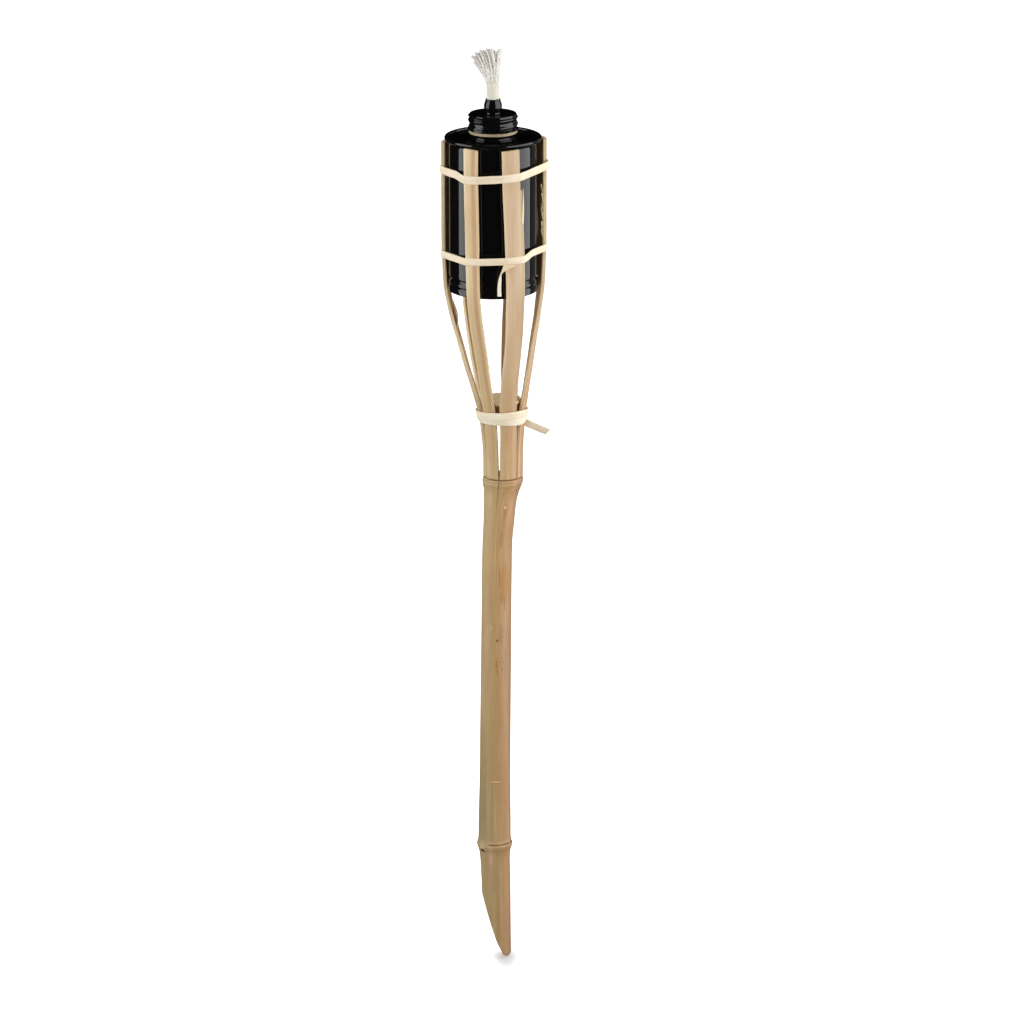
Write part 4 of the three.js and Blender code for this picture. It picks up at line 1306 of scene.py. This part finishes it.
def strand(build, path, radii, sides, shade):
    """Adds a thin round strand with pointed ends along a path."""
    tangent = np.gradient(path, axis=0)
    tangent /= np.linalg.norm(tangent, axis=1, keepdims=True)
    first = np.cross(tangent, [0.3, 1.0, 0.1])
    first /= np.linalg.norm(first, axis=1, keepdims=True)
    second = np.cross(tangent, first)
    turn = np.arange(sides) * TAU / sides
    ring = first[:, None] * np.cos(turn)[:, None] + second[:, None] * np.sin(turn)[:, None]
    points = path[:, None] + ring * radii[:, None, None]
    ends = np.array([path[0] - tangent[0] * radii[0], path[-1] + tangent[-1] * radii[-1]])
    faces = grid_faces(len(path), sides) + fan_faces(len(path), sides)
    shades = np.vstack([np.repeat(shade, sides, axis=0), shade[:1], shade[-1:]])
    build.add(np.vstack([points.reshape(-1, 3), ends]), faces, tint=shades)


def wick_cord(build, low, base):
    """Adds the cord's round lower part, whose yarns show as faint ridges."""
    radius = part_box("wick_tube")[1].x - 2.4 * MM
    top = base + 4 * MM
    heights = np.concatenate([np.linspace(low, base - 22 * MM, 50)[:-1],
                              np.linspace(base - 22 * MM, top, 40)])
    segments = 120
    azimuth, tall = np.meshgrid(np.arange(segments) * 360 / segments, heights)
    twist = azimuth + (tall - base) / MM * 1.2
    ridges = 0.16 * MM * np.abs(np.cos(np.radians(twist * 9)))
    ridges = ridges + 0.14 * MM * rough(points_at(azimuth, radius, tall), (500, 500, 60), 140)
    slim = 2.0 * MM * smoothstep(base - 4 * MM, top, tall)
    points = points_at(azimuth, radius - 0.2 * MM + ridges - slim, tall)
    faces = grid_faces(len(heights), segments) + fan_faces(len(heights), segments)
    ends = np.array([[0, 0, low], [0, 0, top + 1 * MM]])
    flat = np.vstack([points.reshape(-1, 3), ends])
    build.add(flat, faces, tint=np.broadcast_to(COTTON_BASE, flat.shape))


def wick_piece(material):
    low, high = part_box("wick")
    base = high.z - 32 * MM
    draw = np.random.default_rng(7)
    build = Build()
    wick_cord(build, low.z, base)
    share = np.linspace(0, 1, 14)
    for count, clump_foot, clump_tip, spread, bow in CLUMPS:
        for _ in range(count):
            scatter = draw.uniform(-1, 1, 3)
            foot = np.array([*clump_foot, 0]) + [draw.uniform(-1.9, 1.9), draw.uniform(-4.0, 4.0), 0]
            foot[:2] *= min(1, 4.7 / math.hypot(foot[0], foot[1]))
            tip = np.array(clump_tip) + scatter * spread
            drop = clump_tip[2] + abs(scatter[2]) * spread[2] + draw.uniform(0, 1.2)
            foot_point = np.array([foot[0] * MM, foot[1] * MM, base - 4 * MM])
            tip_point = np.array([tip[0] * MM, tip[1] * MM, high.z - max(drop - 1.6, 0.6) * MM])
            rise = tip_point[2] - foot_point[2]
            bend = foot_point + np.array([bow * MM, 0, rise * 0.5])
            a, b, c = (1 - share) ** 2, 2 * share * (1 - share), share ** 2
            path = a[:, None] * foot_point + b[:, None] * bend + c[:, None] * tip_point
            wave = draw.uniform(0, TAU, 2)
            sway = draw.uniform(0.25, 0.95) * MM
            path[:, 0] += sway * np.sin(share * 7 + wave[0]) * share
            path[:, 1] += sway * np.sin(share * 6 + wave[1]) * share
            thick = draw.uniform(0.7, 1.15) * MM
            radii = thick * (1 - 0.45 * share ** 2.5)
            radii[-1] *= 0.5
            tone = draw.uniform(0, 1)
            shade = mixed(COTTON_BASE, mixed(COTTON_GREY, COTTON_WHITE, tone), smoothstep(0.0, 0.4, share))
            strand(build, path, radii, 6, shade)
            for _ in range(4):
                fray(build, path, shade[-1], draw)
    return show("wick_yarn", build, material, "wick", "cotton", "wick", sharp=80)


def fray(build, path, shade, draw):
    """Adds a hair that leaves a yarn near its tip."""
    start = draw.integers(7, len(path) - 1)
    along = path[min(start + 1, len(path) - 1)] - path[start - 1]
    along /= np.linalg.norm(along)
    stray = draw.normal(0, 1, 3) * np.array([0.7, 0.6, 0.4])
    direction = along + stray
    direction /= np.linalg.norm(direction)
    length = draw.uniform(1.2, 3.0) * MM
    t = np.linspace(0, 1, 5)
    curl = draw.normal(0, 0.35, 3) * length
    hair = path[start] + direction * (t * length)[:, None] + curl * (t ** 2)[:, None]
    hair[:, 2] = np.minimum(hair[:, 2], CAD_HIGH.z - 0.1 * MM)
    radii = np.linspace(0.22, 0.08, 5) * MM
    strand(build, hair, radii, 3, np.tile(shade, (5, 1)))


# ---------- building the torch ----------

def pole_marks():
    """Knots, pinholes and scars on the pole, with painted shade in the bud hole and a painted highlight
    above it: see bamboo_paint().
    """
    radius = 14.0
    dark, gold = tuple(DARK_MARK), tuple(colour(170, 127, 64))
    worn, pale = tuple(colour(150, 104, 62)), tuple(colour(222, 192, 140))
    marks = [
        (4, 329, 1.5, 1.5, worn, 1.0, radius), (4, 329, 0.9, 0.9, dark, 0.7, radius),
        (17, 307, 0.7, 0.8, dark, 0.9, radius), (29, 307, 0.7, 0.8, dark, 0.9, radius),
        (25, 300, 0.8, 0.8, dark, 0.9, radius),
        (3, 304.5, 1.1, 5.5, worn, 0.75, radius), (6, 297, 0.9, 3, worn, 0.7, radius),
        (36, 388, 5.2, 19, gold, 0.85, radius), (11, 392, 0.8, 13, worn, 0.7, radius),
        (20, 371, 2.2, 6, worn, 0.5, radius), (34, 366, 1.0, 8, worn, 0.5, radius),
        (45, 431, 2.6, 22, gold, 0.55, 14.6),
        (21, 459, 2.2, 6.5, worn, 0.5, 15.6), (19, 448, 1.5, 9, worn, 0.4, 15.2),
        (14, 430, 1.9, 9, worn, 0.45, 14.6), (19, 462, 1.2, 1.6, pale, 0.9, 15.6),
        (20, 335, 2.2, 10, worn, 0.4, radius), (-20, 341, 0.8, 3, pale, 0.4, radius),
        (1, 185.6, 5.4, 0.7, pale, 0.7, 14.3), (1, 184.2, 5.4, 0.6, worn, 0.7, 14.3),
        (-37, 160, 0.6, 38, worn, 0.6, 14.8),
        (50, 482, 0.5, 12, worn, 0.7, 18.5),
        (36, 141, 0.7, 1.2, worn, 0.6, 15.4), (-2, 152, 0.4, 9, worn, 0.25, 15.2),
        (12, 84, 0.5, 4, worn, 0.35, 14), (-3, 76, 0.8, 0.6, worn, 0.4, 14),
        # painted shade: the bud hole is painted near black
        (BUD_AZIMUTH, BUD_HEIGHT / MM, 2.3, 1.9, tuple(colour(24, 16, 10)), 1.0, 15.0),
        # painted highlight on the brow above the bud
        (BUD_AZIMUTH + 2, BUD_HEIGHT / MM + 3.2, 3.2, 1.0, tuple(colour(226, 206, 178)), 0.6, 15.9),
    ]
    return marks


def build_torch():
    culm_bamboo = bamboo_paint("bamboo_culm", pole_marks())
    stave_bamboo = bamboo_paint("bamboo_staves")
    cane = cane_paint("flat_cane")
    enamel = enamel_paint("black_enamel")
    wood = wood_paint("plug_wood", colour(250, 242, 220), colour(238, 218, 180))
    pole_shell(culm_bamboo)
    for number, name in enumerate(SLATS):
        stave_piece(name, stave_bamboo, 200 + 50 * number)
    plug_piece(wood_paint("splintered_plug", colour(250, 242, 220), colour(238, 218, 180), True))
    upper_band_piece(cane)
    lower_band_piece(cane)
    binding_piece(cane)
    tank_wall_shell(enamel)
    tank_bottom_pan(enamel)
    tank_top_pan(enamel)
    neck_shell(enamel)
    washer_ring(board_paint("washer_board"))
    cap_shell(enamel)
    tube_shell(enamel)
    wick_piece(cotton_paint("cotton_yarn"))
    for node, material in (
        ("lower_diaphragm", wood), ("upper_diaphragm", wood), ("cap_liner", rubber_paint("liner_rubber")),
    ):
        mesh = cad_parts[node].data
        mesh.materials.clear()
        mesh.materials.append(material)


# ---------- stage, light and camera ----------

CAMERA_DISTANCE = 4.3
CAMERA_HEIGHT = 1.76
CAMERA_SIDE = 0.0176
CAMERA_TILT = 16.906
CAMERA_LENS = 166.5


def floor_paint():
    """Plain paper that glows white all round; under the tip its glow drops to a painted soft shadow, which
    the real shadow adds to.
    """
    paint = Paint("floor_paper", Roughness=0.9, Specular_IOR_Level=0.0)
    where = paint.place()
    shadow_centre = ((TIP_LEFT + TIP_RIGHT) / 2 / MM - 1.5, -8, 0)
    shadow_stretch = (1.0, 0.42, 1)
    shadow_reach, glow_in_shadow, glow_outside = 25, 0.12, 1.1
    from_centre = paint.add("ShaderNodeVectorMath", {0: where, 1: shadow_centre}, operation="SUBTRACT")
    away = paint.add("ShaderNodeVectorMath", {0: paint.stretch(from_centre, shadow_stretch)}, "Value",
                     operation="LENGTH")
    paint.set("Base Color", (0.55, 0.55, 0.55, 1))
    paint.set("Emission Color", (1, 1, 1, 1))
    paint.set("Emission Strength", paint.span(away, 0, shadow_reach, glow_in_shadow, glow_outside))
    return paint.material


def add_stage(name, mesh, material):
    """Puts a part of the studio in the scene, unseen by the light that bounces and mirrors."""
    obj = bpy.data.objects.new(name, mesh)
    bpy.context.scene.collection.objects.link(obj)
    mesh.materials.append(material)
    obj.visible_glossy = False
    obj.visible_diffuse = False
    return obj


def make_floor():
    reach = 30
    mesh = bpy.data.meshes.new("floor")
    corners = [(-reach, -reach, 0), (reach, -reach, 0), (reach, reach, 0), (-reach, reach, 0)]
    mesh.from_pydata(corners, [], [(0, 1, 2, 3)])
    add_stage("floor", mesh, floor_paint())


def make_backdrop():
    """A white glowing dome over the floor."""
    paint = Paint("backdrop_paper", Roughness=0.9, Specular_IOR_Level=0.0, Emission_Strength=1.05,
                  Base_Color=(0, 0, 0, 1), Emission_Color=(1, 1, 1, 1))
    reach, segments = 60, 64
    rise = np.radians(np.linspace(-5, 89, 24))
    azimuth, rise = np.meshgrid(np.arange(segments) * 360 / segments, rise)
    build = Build()
    points = points_at(azimuth, reach * np.cos(rise), reach * np.sin(rise))
    build.add(points, grid_faces(len(rise), segments))
    dome = add_stage("backdrop", build.mesh("backdrop"), paint.material)
    dome.visible_transmission = False
    dome.visible_shadow = False


def panel(name, azimuth, distance, height, aim, size, radiance, glossy=True):
    """A soft rectangular light that looks at the torch's line from a bearing."""
    light = bpy.data.lights.new(name, "AREA")
    light.shape = "RECTANGLE"
    light.size, light.size_y = size
    light.energy = radiance * math.pi * size[0] * size[1]
    lamp = bpy.data.objects.new(name, light)
    bpy.context.scene.collection.objects.link(lamp)
    lamp.location = Vector(turn_of(np.array(float(azimuth)))) * distance + Vector((0, 0, height))
    lamp.rotation_euler = (Vector((0, 0, aim)) - lamp.location).to_track_quat("-Z", "Y").to_euler()
    lamp.visible_glossy = glossy
    return lamp


def light_studio():
    for side in (-1, 1):
        panel(f"card_{side + 2}", 138 * side, 1.6, 0.9, 0.7, (1.0, 1.6), 1.1, glossy=False)
    panel("card_glow", 132, 1.5, 0.8, 0.8, (0.9, 1.6), 0.14)
    panel("softbox_right", 72, 1.3, 0.95, 0.95, (2.0, 1.9), 2.6)
    panel("softbox_left", -75, 1.3, 0.95, 0.95, (1.08, 1.9), 2.6)
    panel("key", -16, 3.0, 2.2, 0.3, (2.6, 2.0), 1.75, glossy=False)
    world = bpy.data.worlds.new("studio")
    bpy.context.scene.world = world
    world.use_nodes = True
    background = world.node_tree.nodes["Background"]
    background.inputs["Color"].default_value = (1, 1, 1, 1)
    background.inputs["Strength"].default_value = 0.33
    world.cycles_visibility.glossy = False


def place_camera():
    data = bpy.data.cameras.new("camera")
    data.lens = CAMERA_LENS
    data.clip_end = 200
    camera = bpy.data.objects.new("camera", data)
    bpy.context.scene.collection.objects.link(camera)
    camera.location = (CAMERA_SIDE, -CAMERA_DISTANCE, CAMERA_HEIGHT)
    camera.rotation_euler = (math.radians(90 - CAMERA_TILT), 0, 0)
    bpy.context.scene.camera = camera
    bpy.context.scene.view_settings.view_transform = "Standard"


place_camera()
light_studio()
make_floor()
make_backdrop()
build_torch()
